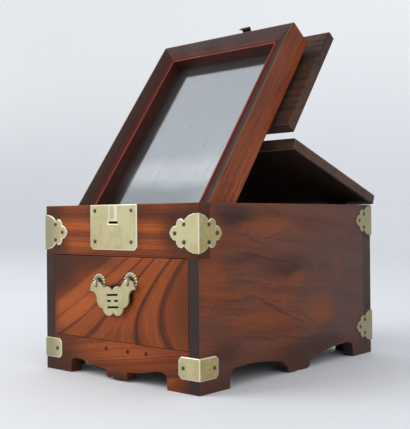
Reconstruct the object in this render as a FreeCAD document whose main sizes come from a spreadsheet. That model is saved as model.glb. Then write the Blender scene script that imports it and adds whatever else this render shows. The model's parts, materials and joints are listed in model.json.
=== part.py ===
import FreeCAD, Part
import math
import os
import Sketcher

# A vanity box with a drawer below, a shallow tray above, and a mirror under a lid that
# folds in two. Millimetres; the origin is on the floor under the middle of the case,
# X to the right, Y to the back, Z up. The lid stands as it does in use: its rear leaf a
# little raised, its front leaf folded back with the mirror leaning in the tray.

SIZES = {
    # Case
    "case_width": 190,
    "case_depth": 263,
    "case_height": 150,
    "side_thick": 11,
    "back_thick": 12.5,
    "rail_thick": 13.5,
    "rail_height": 44,
    "apron_thick": 11,
    "apron_height": 33,
    "floor_thick": 8,
    "groove_depth": 4,
    "tray_depth": 34,
    # Feet and arches cut in the lower edges
    "foot_front": 37,
    "foot_back": 35,
    "foot_apron": 35,
    "foot_rise": 9,
    "arch_height": 15.5,
    "arch_end": 8,
    "pendant_width": 33,
    "pendant_place": 3,
    "apron_arch": 13.5,
    "apron_pendant": 26,
    "pendant_foot": 1.2,
    # Lid, in two leaves
    "lid_thick": 11,
    "lid_overhang": 2,
    "lid_round": 2,
    "fold_from_front": 116,
    "leaf_gap": 1,
    "batten_thick": 6,
    "batten_width": 18,
    "batten_front": 24,
    "batten_from_fold": 10,
    "batten_inset": 6.8,
    # Mirror frame
    "frame_side_gap": 1.2,
    "frame_front_gap": 5,
    "frame_rear_gap": 2.5,
    "frame_floor_gap": 0.2,
    "member_width": 18.5,
    "member_round": 1.8,
    "slope_width": 15,
    "slope_drop": 6.2,
    "bead_drop": 5.6,
    "bead_foot": 7.4,
    "rabbet_width": 6,
    "glass_drop": 18,
    "glass_thick": 3,
    "rest_gap": 0.35,
    # Drawer
    "drawer_side_gap": 0.7,
    "drawer_low_gap": 0.4,
    "drawer_top_gap": 0.6,
    "drawer_depth": 245,
    "drawer_front_thick": 12,
    "drawer_wall": 7,
    "drawer_wall_height": 60,
    "drawer_bottom_thick": 5,
    "rabbet_depth": 6,
    "peg_width": 2,
    "peg_length": 14,
    # Drawer pull
    "fitting_place": -2.5,
    "pull_place": -0.8,
    "pull_half": 19.9,
    "pull_drop": 26.4,
    "pull_height": 84,
    "pull_rise": 1.1,
    "pull_tilt": 4,
    "ring_radius": 2.1,
    "wire_radius": 0.6,
    "wire_play": 0.1,
    "rosette_radius": 7.95,
    "rosette_thick": 0.9,
    "dish_radius": 4.6,
    "dish_floor": 0.5,
    "bead_inset": 1.25,
    "bead_radius": 1.15,
    "bead_height": 1.7,
    "bead_count": 16,
    "tail_length": 8,
    "tail_thick": 1,
    "pull_thick": 1.4,
    "pull_hole": 1.9,
    "bar_height": 1.8,
    "bar_half": 6.9,
    # Lock plate and hasp
    "lock_half": 29.3,
    "lock_height": 39,
    "lock_corner": 3,
    "plate_thick": 1,
    "slot_half": 6,
    "slot_height": 2,
    "slot_drop": 15.4,
    "slot_depth": 8,
    "strip_half": 3.6,
    "strip_rise": 0.8,
    "strip_gap": 1.6,
    "lock_nail_half": 22.8,
    "lock_nail_inset": 5.2,
    "hasp_half": 5.2,
    "hasp_knuckle": 1.9,
    "hasp_thick": 1.2,
    "hasp_lip": 4.7,
    "hasp_pin_out": 2.6,
    "hasp_pin_drop": 0.4,
    "hasp_plate_length": 20,
    "hasp_swing": 28,
    # Hinges
    "leaf_thick": 1,
    "leaf_length": 28,
    "pin_radius": 0.95,
    "pin_play": 0.05,
    "knuckle_gap": 0.3,
    "middle_half": 4.85,
    "hinge_mount_gap": 2.5,
    "rear_hinge_half": 12,
    "rear_knuckle": 2.3,
    "rear_pin_out": 2.5,
    "rear_pin_drop": 2.8,
    "fold_hinge_inset": 53,
    "fold_hinge_half": 11,
    "fold_knuckle": 2.4,
    "fold_pin_rise": 2.95,
    "fold_relief": 2.1,
    # Corner mounts
    "mount_thick": 1,
    "top_front_half": 16,
    "top_front_length": 31,
    "top_front_drop": 24,
    "top_front_shift": 3.4,
    "back_half": 15,
    "back_length": 28.5,
    "top_back_drop": 15.8,
    "low_back_rise": 28,
    "low_front_half": 9,
    "low_front_length": 22,
    "low_front_rise": 20,
    "low_front_clip": 3,
    # Nails
    "nail_head": 1.8,
    "nail_head_height": 0.8,
    "nail_width": 1.4,
    "nail_length": 9,
    "apron_peg": 3,
    "apron_peg_rise": 0.5,
}

# Places worked out from the sizes.
PLACES = {
    "front": "-Sizes.case_depth / 2",
    "back": "Sizes.case_depth / 2",
    "side": "Sizes.case_width / 2",
    "inside": "side - Sizes.side_thick",
    "back_inner": "back - Sizes.back_thick",
    "rail_back": "front + Sizes.rail_thick",
    "rail_low": "Sizes.case_height - Sizes.rail_height",
    "tray_top": "Sizes.case_height - Sizes.tray_depth",
    "lid_top": "Sizes.case_height + Sizes.lid_thick",
    "lid_side": "side + Sizes.lid_overhang",
    "lid_back": "back + Sizes.lid_overhang",
    "fold_line": "front + Sizes.fold_from_front",
    "fold_pin": "lid_top + Sizes.fold_pin_rise",
    "rear_pin_y": "back + Sizes.rear_pin_out",
    "rear_pin_z": "Sizes.case_height - Sizes.rear_pin_drop",
    "frame_half": "inside - Sizes.frame_side_gap",
    "frame_front": "rail_back + Sizes.frame_front_gap",
    "frame_rear": "back_inner - Sizes.frame_rear_gap",
    "frame_back": "Sizes.case_height - Sizes.batten_thick",
    "frame_face": "tray_top + Sizes.frame_floor_gap",
    "drawer_half": "inside - Sizes.drawer_side_gap",
    "drawer_low": "Sizes.apron_height + Sizes.drawer_low_gap",
    "drawer_high": "rail_low - Sizes.drawer_top_gap",
    "drawer_floor": "drawer_low + Sizes.drawer_bottom_thick",
    "drawer_wall_top": "drawer_floor + Sizes.drawer_wall_height",
    "drawer_rear": "front + Sizes.drawer_depth",
    "drawer_inner": "drawer_half - Sizes.drawer_wall",
    "ring_y": "front - Sizes.rosette_thick - Sizes.ring_radius - Sizes.wire_radius",
    "tilt_x": "Sizes.pull_place * (1 - cos(Sizes.pull_tilt * 1 deg))"
              " + Sizes.pull_height * sin(Sizes.pull_tilt * 1 deg)",
    "tilt_z": "Sizes.pull_height * (1 - cos(Sizes.pull_tilt * 1 deg))"
              " - Sizes.pull_place * sin(Sizes.pull_tilt * 1 deg)",
    "slot_z": "Sizes.case_height - Sizes.slot_drop",
    "hasp_pin_y": "front - Sizes.hasp_pin_out",
    "hasp_pin_z": "lid_top - Sizes.hasp_pin_drop",
    "knuckle_bore": "Sizes.pin_radius + Sizes.pin_play",
    "rear_hinge_place": "side - Sizes.back_length - Sizes.hinge_mount_gap - Sizes.rear_hinge_half",
    "fold_hinge_place": "side - Sizes.fold_hinge_inset",
}

LEFT = -1
RIGHT = 1

# The upper edge of a corner mount's wing from the corner to the tip, as parts of the wing's
# length and half height: a broad shoulder, a lobe and a pointed leaf. The lower edge is
# the same upside down.
WING_EDGE = [
    (0.18, 0.98), (0.33, 0.88), (0.43, 0.74), (0.47, 0.6), (0.57, 0.75), (0.68, 0.7),
    (0.75, 0.55), (0.76, 0.38), (0.87, 0.34), (0.95, 0.18),
]
WING_TIP = (1.0, 0.0)
WING_NAILS = [(0.47, 0.44), (0.47, -0.44), (0.79, 0.0)]
PLAIN_WING_NAILS = [(0.75, 0.0)]

# The right half of the pull plate's outline, from the dip between its eyelets out to the
# wing's tip and down to the middle of its lower edge, as parts of the distance from the
# middle to an eyelet and of the plate's drop. A step is a corner, or an arc's middle and end.
PULL_DIP = (0.0, 0.34)
PULL_STEPS = [
    (0.256, 0.177, 0.503, 0.218),
    (0.626, 0.135, 0.744, 0.034),
    (1.0, 0.004, 1.308, 0.045),
    (1.44, 0.3),
    (1.13, 0.361, 1.0, 0.545),
    (0.918, 0.774, 0.646, 0.872),
    (0.482, 1.07, 0.031, 1.04),
    (0.0, 0.955),
]

# The sign cut in the pull plate: three bars, the middle one broken. Each has its drop as a
# part of the plate's, and its spans as parts of a whole bar's half length.
BARS = [
    (0.45, [(-1, 1)]),
    (0.64, [(-1, -0.28), (0.28, 1)]),
    (0.845, [(-1, 1)]),
]

# Peg ends in the apron, as parts of the case's half width and of the apron's height.
APRON_PEGS = [(-0.137, 0.79), (0.147, 0.79), (0.379, 0.8)]

# Shares of a hinge leaf's length at which its nails stand, for the leaf on the case's back
# and for the leaves on the lid, and of the hasp plate's length.
BACK_LEAF_NAILS = (0.49, 0.85)
LID_LEAF_NAILS = (0.42, 0.78)
HASP_PLATE_NAILS = (0.3, 0.75)

Vector = FreeCAD.Vector
Rotation = FreeCAD.Rotation
doc = FreeCAD.newDocument("mirror_box")
parts = []


def make_sheet(name, rows, mark=""):
    """A sheet with one named cell for each row."""
    sheet = doc.addObject("Spreadsheet::Sheet", name)
    for row, (alias, value) in enumerate(rows.items(), start=1):
        sheet.set(f"A{row}", alias)
        sheet.set(f"B{row}", f"{mark}{value}")
        sheet.setAlias(f"B{row}", alias)
    doc.recompute()
    return sheet


sizes = make_sheet("Sizes", SIZES)
places = make_sheet("Places", PLACES, mark="=")


def turned(y, z, pin_y, pin_z, angle):
    """Where a point goes when its leaf opens about a pin by an angle in radians."""
    dy = y - pin_y
    dz = z - pin_z
    new_y = pin_y + dy * math.cos(angle) + dz * math.sin(angle)
    new_z = pin_z - dy * math.sin(angle) + dz * math.cos(angle)
    return new_y, new_z


def foot_reach(lid_open):
    """The mirror's turn that sets its foot on the tray floor, and where its toe then is."""
    pin_y, pin_z = turned(places.fold_line, places.fold_pin,
                          places.rear_pin_y, places.rear_pin_z, lid_open)
    arm = places.frame_rear - places.fold_line
    heel_drop = places.fold_pin - places.frame_back
    toe_drop = places.fold_pin - places.frame_face
    fall = pin_z - places.tray_top - sizes.rest_gap
    turn = math.pi - math.asin(fall / math.hypot(arm, heel_drop)) - math.atan2(heel_drop, arm)
    toe = pin_y + arm * math.cos(turn) - toe_drop * math.sin(turn)
    return turn, toe


def rest_angles():
    """The two leaves' angles, in degrees, with the mirror's toe against the front rail."""
    low, high = 0.0, math.radians(40)
    for step in range(60):
        lid_open = (low + high) / 2
        turn, toe = foot_reach(lid_open)
        if toe < places.rail_back + sizes.rest_gap:
            low = lid_open
        else:
            high = lid_open
    return math.degrees(lid_open), math.degrees(turn - lid_open)


rest_open, rest_fold = rest_angles()

# How far each posed piece is turned and shifted from its closed place. A piece turned
# about a pin keeps the pin where it is.
POSES = {
    "lid_open": rest_open,
    "leaf_fold": rest_fold,
    "leaf_turn": "lid_open + leaf_fold",
    "hasp_turn": "leaf_turn + Sizes.hasp_swing",
}


def pinned(turn, closed_y, closed_z, rest_y, rest_z):
    """Formulas for the shift of a piece turned about a pin that moved from closed to rest."""
    cosine = f"cos({turn} * 1 deg)"
    sine = f"sin({turn} * 1 deg)"
    shift_y = f"{rest_y} - {closed_y} * {cosine} - {closed_z} * {sine}"
    shift_z = f"{rest_z} + {closed_y} * {sine} - {closed_z} * {cosine}"
    return shift_y, shift_z


def carried(turn, point_y, point_z, pin_y, pin_z, rest_y, rest_z):
    """Formulas for the place at rest of a point on a leaf that turned about a pin."""
    cosine = f"cos({turn} * 1 deg)"
    sine = f"sin({turn} * 1 deg)"
    at_y = f"{rest_y} + ({point_y} - {pin_y}) * {cosine} + ({point_z} - {pin_z}) * {sine}"
    at_z = f"{rest_z} - ({point_y} - {pin_y}) * {sine} + ({point_z} - {pin_z}) * {cosine}"
    return at_y, at_z


REAR_PIN = ("Places.rear_pin_y", "Places.rear_pin_z")
FOLD_PIN = ("Places.fold_line", "Places.fold_pin")
HASP_PIN = ("Places.hasp_pin_y", "Places.hasp_pin_z")
POSES["fold_y"], POSES["fold_z"] = carried("lid_open", *FOLD_PIN, *REAR_PIN, *REAR_PIN)
POSES["hasp_y"], POSES["hasp_z"] = carried("leaf_turn", *HASP_PIN, *FOLD_PIN, "fold_y", "fold_z")
POSES["lid_shift_y"], POSES["lid_shift_z"] = pinned("lid_open", *REAR_PIN, *REAR_PIN)
POSES["leaf_shift_y"], POSES["leaf_shift_z"] = pinned("leaf_turn", *FOLD_PIN, "fold_y", "fold_z")
POSES["hasp_shift_y"], POSES["hasp_shift_z"] = pinned("hasp_turn", *HASP_PIN, "hasp_y", "hasp_z")
poses = make_sheet("Poses", POSES, mark="=")

POSE_OF = {
    "lid_rear": ("lid_open", "lid_shift"),
    "lid_front": ("leaf_turn", "leaf_shift"),
    "hasp": ("hasp_turn", "hasp_shift"),
}


def bind(item, **values):
    """Ties an object's properties to expressions; two underscores stand for a dot."""
    for name, expression in values.items():
        item.setExpression(name.replace("__", "."), str(expression))


def put(item, x="0", y="0", z="0"):
    bind(item, Placement__Base__x=x, Placement__Base__y=y, Placement__Base__z=z)
    return item


def keep(item, label, body="case"):
    """Names a finished piece and, on the lid, stands it at its place of rest."""
    item.Label = label
    if body in POSE_OF:
        angle, shift = POSE_OF[body]
        item.Placement.Rotation = Rotation(Vector(1, 0, 0), -1)
        bind(item, Placement__Rotation__Angle=f"-Poses.{angle} * 1 deg")
        put(item, y=f"Poses.{shift}_y", z=f"Poses.{shift}_z")
    parts.append(item)
    return item


def box(x, y, z):
    """A box between low and high expressions along each axis."""
    item = doc.addObject("Part::Box", "box")
    bind(item, Length=f"({x[1]}) - ({x[0]})", Width=f"({y[1]}) - ({y[0]})",
         Height=f"({z[1]}) - ({z[0]})")
    return put(item, x[0], y[0], z[0])


def round_bar(axis, low, high, a, b, radius):
    """A cylinder along X or Y from low to high; a and b place it on the other two axes."""
    item = doc.addObject("Part::Cylinder", "bar")
    bind(item, Radius=radius, Height=f"({high}) - ({low})")
    if axis == "X":
        item.Placement.Rotation = Rotation(Vector(0, 1, 0), 90)
        return put(item, low, a, b)
    item.Placement.Rotation = Rotation(Vector(1, 0, 0), -90)
    return put(item, a, low, b)


def fuse(*shapes):
    item = doc.addObject("Part::MultiFuse", "joined")
    item.Shapes = list(shapes)
    return item


def cut(base, *tools):
    item = doc.addObject("Part::Cut", "cut")
    item.Base = base
    item.Tool = tools[0] if len(tools) == 1 else fuse(*tools)
    return item


def common(first, second):
    item = doc.addObject("Part::Common", "common")
    item.Base = first
    item.Tool = second
    return item


def group(*shapes):
    item = doc.addObject("Part::Compound", "group")
    item.Links = list(shapes)
    return item


def mirrored(source):
    """The same piece on the other side of the middle of the case."""
    item = doc.addObject("Part::Mirroring", "mirrored")
    item.Source = source
    item.Normal = Vector(1, 0, 0)
    return item


PLANES = {
    "XY": (Rotation(), Vector(0, 0, 1), "z"),
    "XZ": (Rotation(Vector(1, 0, 0), 90), Vector(0, 1, 0), "y"),
    "YZ": (Rotation(0.5, 0.5, 0.5, 0.5), Vector(1, 0, 0), "x"),
}


def arc_edge(start, middle, end):
    """An arc through three points, and which of its ends is the start."""
    circle = Part.Circle(start, middle, end)
    flat = Part.Circle(circle.Center, Vector(0, 0, 1), circle.Radius)
    first = math.atan2(start.y - circle.Center.y, start.x - circle.Center.x)
    last = math.atan2(end.y - circle.Center.y, end.x - circle.Center.x)
    leftward = (middle - start).cross(end - middle).z > 0
    low, high = (first, last) if leftward else (last, first)
    if high < low:
        high += 2 * math.pi
    return Part.ArcOfCircle(flat, low, high), (1, 2) if leftward else (2, 1)


def draw(sketch, steps):
    """A closed outline. A step is a corner (x, y), or an arc's middle and end (x, y, x, y)."""
    def spot(x, y):
        return Vector(float(sketch.evalExpression(str(x))), float(sketch.evalExpression(str(y))), 0)

    corners = [spot(*step[-2:]) for step in steps]
    edges = []
    rules = []
    ties = []

    def tie(geometry, position, x, y):
        for kind, expression in (("DistanceX", x), ("DistanceY", y)):
            value = float(sketch.evalExpression(str(expression)))
            ties.append((len(rules), expression))
            rules.append(Sketcher.Constraint(kind, -1, 1, geometry, position, value))

    for index, step in enumerate(steps):
        start, end = corners[index - 1], corners[index]
        if len(step) == 2:
            edges.append((sketch.addGeometry(Part.LineSegment(start, end)), 1, 2))
            continue
        arc, (first, last) = arc_edge(start, spot(*step[:2]), end)
        edges.append((sketch.addGeometry(arc), first, last))
    for index, step in enumerate(steps):
        geometry, first, last = edges[index]
        before, before_first, before_last = edges[index - 1]
        rules.append(Sketcher.Constraint("Coincident", before, before_last, geometry, first))
        tie(geometry, last, *step[-2:])
        if len(step) == 4:
            middle = sketch.addGeometry(Part.Point(spot(*step[:2])), True)
            rules.append(Sketcher.Constraint("PointOnObject", middle, 1, geometry))
            tie(middle, 1, *step[:2])
    sketch.addConstraint(rules)
    for number, expression in ties:
        sketch.setExpression(f"Constraints[{number}]", str(expression))
    return sketch


def prism(plane, steps, low, high):
    """An outline in a plane, carried along the plane's normal from low to high."""
    rotation, direction, axis = PLANES[plane]
    sketch = doc.addObject("Sketcher::SketchObject", "outline")
    sketch.Placement.Rotation = rotation
    put(sketch, **{axis: low})
    draw(sketch, steps)
    item = doc.addObject("Part::Extrusion", "prism")
    item.Base = sketch
    item.DirMode = "Custom"
    item.Dir = direction
    item.Solid = True
    bind(item, LengthFwd=f"({high}) - ({low})")
    return item


def symmetric(middle, start, steps):
    """A closed outline from its right half, with places across measured from the middle."""
    starts = [start] + [step[-2:] for step in steps]
    returning = []
    for number in range(len(steps) - 1, -1, -1):
        returning.append(steps[number][:-2] + starts[number])

    def set_out(step, way):
        return tuple(f"{middle} + {way} * ({value})" if index % 2 == 0 else value
                     for index, value in enumerate(step))

    return [set_out(step, 1) for step in steps] + [set_out(step, -1) for step in returning]


def block(x, y, z):
    """A box drawn as an outline, for pieces that are posed afterwards."""
    corners = [(x[0], y[0]), (x[1], y[0]), (x[1], y[1]), (x[0], y[1])]
    return prism("XY", corners, z[0], z[1])


def both(half):
    """Low and high ends, the same distance either side of the middle."""
    return (f"-({half})", f"{half}")


def around(middle, half):
    return (f"{middle} - ({half})", f"{middle} + ({half})")


# Nails: a faceted head outside the surface and a square shank in the wood.
NAIL_TURN = {
    "front": Rotation(Vector(1, 0, 0), 90),
    "back": Rotation(Vector(1, 0, 0), -90),
    "left": Rotation(Vector(0, 1, 0), -90),
    "right": Rotation(Vector(0, 1, 0), 90),
    "up": Rotation(),
}


def nail_pattern():
    head = doc.addObject("Part::Prism", "nail_head")
    head.Polygon = 6
    bind(head, Circumradius="Sizes.nail_head", Height="Sizes.nail_head_height")
    shank = box(both("Sizes.nail_width / 2"), both("Sizes.nail_width / 2"),
                ("-Sizes.nail_length", "0"))
    return fuse(head, shank)


nail = nail_pattern()


def nail_at(facing, x, y, z):
    """A nail whose head sits on a surface that faces the given way."""
    item = doc.addObject("App::Link", "nail")
    item.LinkedObject = nail
    item.LinkTransform = False
    item.Placement.Rotation = NAIL_TURN[facing]
    return put(item, x, y, z)


# Case boards

def side_board(nails, hand):
    """A side: notched for the front rail, grooved for the two floors, footed below."""
    front, back = "Places.front", "Places.back_inner"
    toe = f"{front} + Sizes.foot_front"
    heel = "Places.back - Sizes.foot_back"
    pendant = "Sizes.pendant_place"
    pendant_front = f"{pendant} - Sizes.pendant_width / 2"
    pendant_back = f"{pendant} + Sizes.pendant_width / 2"
    arch = "Sizes.arch_height"
    rise = "Sizes.foot_rise"
    steps = [
        (front, "0"),
        (front, "Places.rail_low"),
        ("Places.rail_back", "Places.rail_low"),
        ("Places.rail_back", "Sizes.case_height"),
        (back, "Sizes.case_height"),
        (back, "0"),
        (heel, "0"),
        (f"{heel} - 1", rise),
        (f"{heel} - 3.5", f"{arch} - 1.8", f"{heel} - 10", arch),
        (f"{pendant_back} + 34", f"{arch} - 2", f"{pendant_back} + 3", f"{arch} - 8"),
        (pendant_back, "Sizes.arch_end - 2"),
        (pendant_back, "Sizes.pendant_foot + 0.6"),
        (f"{pendant} + 9", "Sizes.pendant_foot - 0.9", f"{pendant} + 1", "Sizes.pendant_foot + 1.4"),
        (f"{pendant} - 9", "Sizes.pendant_foot - 0.9", pendant_front, "Sizes.pendant_foot + 0.6"),
        (f"{pendant_front} - 1", "Sizes.arch_end - 2"),
        (f"{pendant_front} - 7", "Sizes.arch_end + 3"),
        (f"{pendant_front} - 30", f"{arch} - 0.6", f"{toe} + 8", arch),
        (f"{toe} + 2.2", f"{arch} - 2", toe, rise),
        (toe, "0"),
    ]
    board = prism("YZ", steps, "-Places.side", "-Places.inside")
    groove_x = ("-Places.inside - Sizes.groove_depth", "-Places.inside")
    tray_groove = box(groove_x, ("Places.rail_back", back),
                      ("Places.tray_top - Sizes.floor_thick", "Places.tray_top"))
    low_groove = box(groove_x, ("Places.front + Sizes.apron_thick", back),
                     ("Sizes.apron_height - Sizes.floor_thick", "Sizes.apron_height"))
    board = cut(board, tray_groove, low_groove)
    if hand == RIGHT:
        board = mirrored(board)
    return keep(cut(board, nails), "side_left" if hand == LEFT else "side_right")


def front_rail(nails):
    """The deep rail above the drawer, with a mortise behind the lock's slot."""
    rail = box(both("Places.side"), ("Places.front", "Places.rail_back"),
               ("Places.rail_low", "Sizes.case_height"))
    mortise = box(around("Sizes.fitting_place", "Sizes.slot_half + 0.5"),
                  ("Places.front", "Places.front + Sizes.slot_depth"),
                  around("Places.slot_z", "Sizes.slot_height / 2 + 0.8"))
    return keep(cut(rail, mortise, nails), "front_rail")


def front_apron(nails, pegs):
    """The skirt between the sides, with two arches and a scalloped pendant."""
    half = "Places.inside"
    foot = "Places.side - Sizes.foot_apron"
    pendant = "Sizes.apron_pendant / 2"
    low = "Sizes.pendant_foot"

    top = "Sizes.apron_height"
    steps = [
        (f"0.55 * ({pendant} - 7)", f"{low} + 0.1", f"{pendant} - 7", f"{low} + 1.6"),
        (f"{pendant} - 3.5", f"{low} + 0.3", pendant, f"{low} + 2"),
        (pendant, "Sizes.arch_end + 0.5"),
        (f"{pendant} + 18", "Sizes.arch_end + 2.2", f"{foot} - 13", "Sizes.apron_arch"),
        (f"{foot} - 6", "Sizes.apron_arch"),
        (f"{foot} - 1.6", "Sizes.apron_arch - 1.8", foot, "Sizes.foot_rise - 1"),
        (foot, "0"),
        (half, "0"),
        (half, top),
        ("0", top),
    ]
    skirt = prism("XZ", symmetric("0", ("0", f"{low} - 0.4"), steps), "Places.front",
                  "Places.front + Sizes.apron_thick")
    return keep(cut(skirt, nails, pegs), "front_apron")


def back_board(nails):
    """The full-width back, with one plain arch between its feet."""
    foot = "Places.side - Sizes.foot_back"
    rise = "Sizes.foot_rise - 1"
    arch = "Sizes.arch_height"
    steps = [
        (f"{foot} - 8", arch),
        (f"{foot} - 2", f"{arch} - 2", foot, rise),
        (foot, "0"),
        ("Places.side", "0"),
        ("Places.side", "Sizes.case_height"),
        ("0", "Sizes.case_height"),
    ]
    board = prism("XZ", symmetric("0", ("0", arch), steps), "Places.back_inner", "Places.back")
    return keep(cut(board, nails), "back_board")


def floor_board(label, start, top, nails):
    """A floor let into the grooves of both sides."""
    board = box(both("Places.inside + Sizes.groove_depth"), (start, "Places.back_inner"),
                (f"{top} - Sizes.floor_thick", top))
    keep(cut(board, nails), label)


# Metalwork on the case

def wing_steps(edge, way, centre, half, length, shift="0"):
    """One wing of an ornamental corner mount, from its corner edge to its tip."""
    def at(along, up):
        return f"{edge} + {way} * ({along} * {length} - {shift})", f"{centre} + {up} * {half}"

    start = f"{edge} - {way} * Sizes.mount_thick"
    upper = [at(along, up) for along, up in WING_EDGE]
    lower = [at(along, -up) for along, up in reversed(WING_EDGE)]
    corner = [(start, f"{centre} - {half}"), (start, f"{centre} + {half}")]
    return corner + upper + [at(*WING_TIP)] + lower


def plain_wing_steps(edge, way, centre, half, length, shift="0"):
    """One wing of a small plain mount: a rectangle with clipped corners."""
    clip = "Sizes.low_front_clip"
    start = f"{edge} - {way} * Sizes.mount_thick"
    near = f"{edge} + {way} * ({length} - {shift} - {clip})"
    far = f"{edge} + {way} * ({length} - {shift})"
    return [
        (start, f"{centre} - {half}"),
        (start, f"{centre} + {half}"),
        (near, f"{centre} + {half}"),
        (far, f"{centre} + {half} - {clip}"),
        (far, f"{centre} - {half} + {clip}"),
        (near, f"{centre} - {half}"),
    ]


# Each mount's middle height, half height and wing length, and how much shorter its wing on
# the side is than the one on the front.
MOUNTS = {
    "top_front": ("Sizes.case_height - Sizes.top_front_drop", "Sizes.top_front_half",
                  "Sizes.top_front_length", "Sizes.top_front_shift"),
    "bottom_front": ("Sizes.low_front_rise", "Sizes.low_front_half", "Sizes.low_front_length", "0"),
    "top_back": ("Sizes.case_height - Sizes.top_back_drop", "Sizes.back_half",
                 "Sizes.back_length", "0"),
    "bottom_back": ("Sizes.low_back_rise", "Sizes.back_half", "Sizes.back_length", "0"),
}


def mount_nails(place):
    """The nails of both mounts at one height, front or back, as exact seats."""
    centre, half, length, shift = MOUNTS[place]
    faces_front = place.endswith("front")
    edge = "Places.front" if faces_front else "Places.back"
    way = 1 if faces_front else -1
    spots = PLAIN_WING_NAILS if place == "bottom_front" else WING_NAILS
    nails = []
    for along, up in spots:
        z = f"{centre} + {up} * {half}"
        for sign, side in ((-1, "left"), (1, "right")):
            x_wing = f"{sign} * (Places.side - {along} * {length})"
            nails.append(nail_at("front" if faces_front else "back", x_wing,
                                 f"{edge} - {way} * Sizes.mount_thick", z))
            nails.append(nail_at(side, f"{sign} * (Places.side + Sizes.mount_thick)",
                                 f"{edge} + {way} * ({along} * {length} - {shift})", z))
    return nails


def corner_mounts(place, nails):
    """A left and a right mount, bent round the case's corner."""
    centre, half, length, shift = MOUNTS[place]
    outline = plain_wing_steps if place == "bottom_front" else wing_steps
    faces_front = place.endswith("front")
    edge, way = ("Places.front", 1) if faces_front else ("Places.back", -1)
    face = ("Places.front - Sizes.mount_thick", "Places.front")
    if not faces_front:
        face = ("Places.back", "Places.back + Sizes.mount_thick")
    face_wing = prism("XZ", outline("-Places.side", 1, centre, half, length), *face)
    side_wing = prism("YZ", outline(edge, way, centre, half, length, shift),
                      "-Places.side - Sizes.mount_thick", "-Places.side")
    mount = fuse(face_wing, side_wing)
    keep(cut(mount, nails), f"corner_mount_{place}_left")
    keep(cut(mirrored(mount), nails), f"corner_mount_{place}_right")


def lock_nails():
    middle = "Sizes.fitting_place"
    low = "Sizes.case_height - Sizes.lock_height + Sizes.lock_nail_inset + 2"
    high = "Sizes.case_height - Sizes.lock_nail_inset"
    nails = []
    for sign in (-1, 1):
        for z in (low, high):
            nails.append(nail_at("front", f"{middle} + {sign} * Sizes.lock_nail_half",
                                 "Places.front - Sizes.plate_thick", z))
    return nails


def lock_plate(nails):
    """The plate round the hasp's slot, with a raised strip that guides the hasp."""
    middle = "Sizes.fitting_place"
    low = "Sizes.case_height - Sizes.lock_height"
    left, right = around(middle, "Sizes.lock_half")
    corner = "Sizes.lock_corner"
    steps = [
        (left, "Sizes.case_height"),
        (left, f"{low} + {corner}"),
        (f"{left} + {corner}", low),
        (f"{right} - {corner}", low),
        (right, f"{low} + {corner}"),
        (right, "Sizes.case_height"),
    ]
    face = ("Places.front - Sizes.plate_thick", "Places.front")
    plate = prism("XZ", steps, *face)
    strip_low = "Places.slot_z + Sizes.slot_height / 2 + Sizes.strip_gap"
    outer = "Sizes.strip_half + Sizes.strip_rise"
    strip_steps = [
        (f"{middle} - ({outer})", face[0]),
        (f"{middle} - Sizes.strip_half", f"{face[0]} - Sizes.strip_rise"),
        (f"{middle} + Sizes.strip_half", f"{face[0]} - Sizes.strip_rise"),
        (f"{middle} + {outer}", face[0]),
        (f"{middle} + {outer}", f"{face[0]} + 0.5 * Sizes.plate_thick"),
        (f"{middle} - ({outer})", f"{face[0]} + 0.5 * Sizes.plate_thick"),
    ]
    strip = prism("XY", strip_steps, strip_low, "Sizes.case_height")
    slot = box(around(middle, "Sizes.slot_half"), (f"{face[0]} - 1", "Places.front"),
               around("Places.slot_z", "Sizes.slot_height / 2"))
    keep(cut(fuse(plate, strip), slot, nails), "lock_plate")


def apron_pegs():
    """Three wooden pegs whose ends show on the apron."""
    half = "Sizes.apron_peg / 2"
    depth = ("Places.front - Sizes.apron_peg_rise", "Places.front + 0.7 * Sizes.apron_thick")
    pegs = []
    for across, up in APRON_PEGS:
        x = around(f"{across} * Places.side", half)
        z = around(f"{up} * Sizes.apron_height", half)
        pegs.append(box(x, depth, z))
    return group(*pegs)


# Hinges

def knuckle(x_low, x_high, y, z, radius):
    """A hammered knuckle: a bar with twelve flats."""
    item = doc.addObject("Part::Prism", "knuckle")
    item.Polygon = 12
    bind(item, Circumradius=radius, Height=f"({x_high}) - ({x_low})")
    item.Placement.Rotation = Rotation(Vector(0, 1, 0), 90)
    return put(item, x_low, y, z)


def hinge_pin(middle, core_half, pin):
    """A pin between two knuckles, riveted into both."""
    return round_bar("X", *around(middle, f"{core_half} + Sizes.leaf_thick"), *pin, "Sizes.pin_radius")


def leaf_nail_spots(span, shares):
    """Three nail places on a hinge leaf: across it, and away from the pin as a share."""
    near, far = shares
    offset = f"0.62 * {span['half']}"
    return [(f"{span['middle']} - {offset}", near), (f"{span['middle']} + {offset}", near),
            (span["middle"], far)]


def hinge_span(sign, hinge):
    middle = f"{sign} * Places.{hinge}_hinge_place"
    half = f"Sizes.{hinge}_hinge_half"
    inner = "Sizes.middle_half"
    outer = "(Sizes.middle_half + Sizes.knuckle_gap)"
    return {
        "middle": middle,
        "full": around(middle, half),
        "core": around(middle, inner),
        "low": (f"{middle} - {half}", f"{middle} - {outer}"),
        "high": (f"{middle} + {outer}", f"{middle} + {half}"),
        "half": half,
    }


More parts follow.
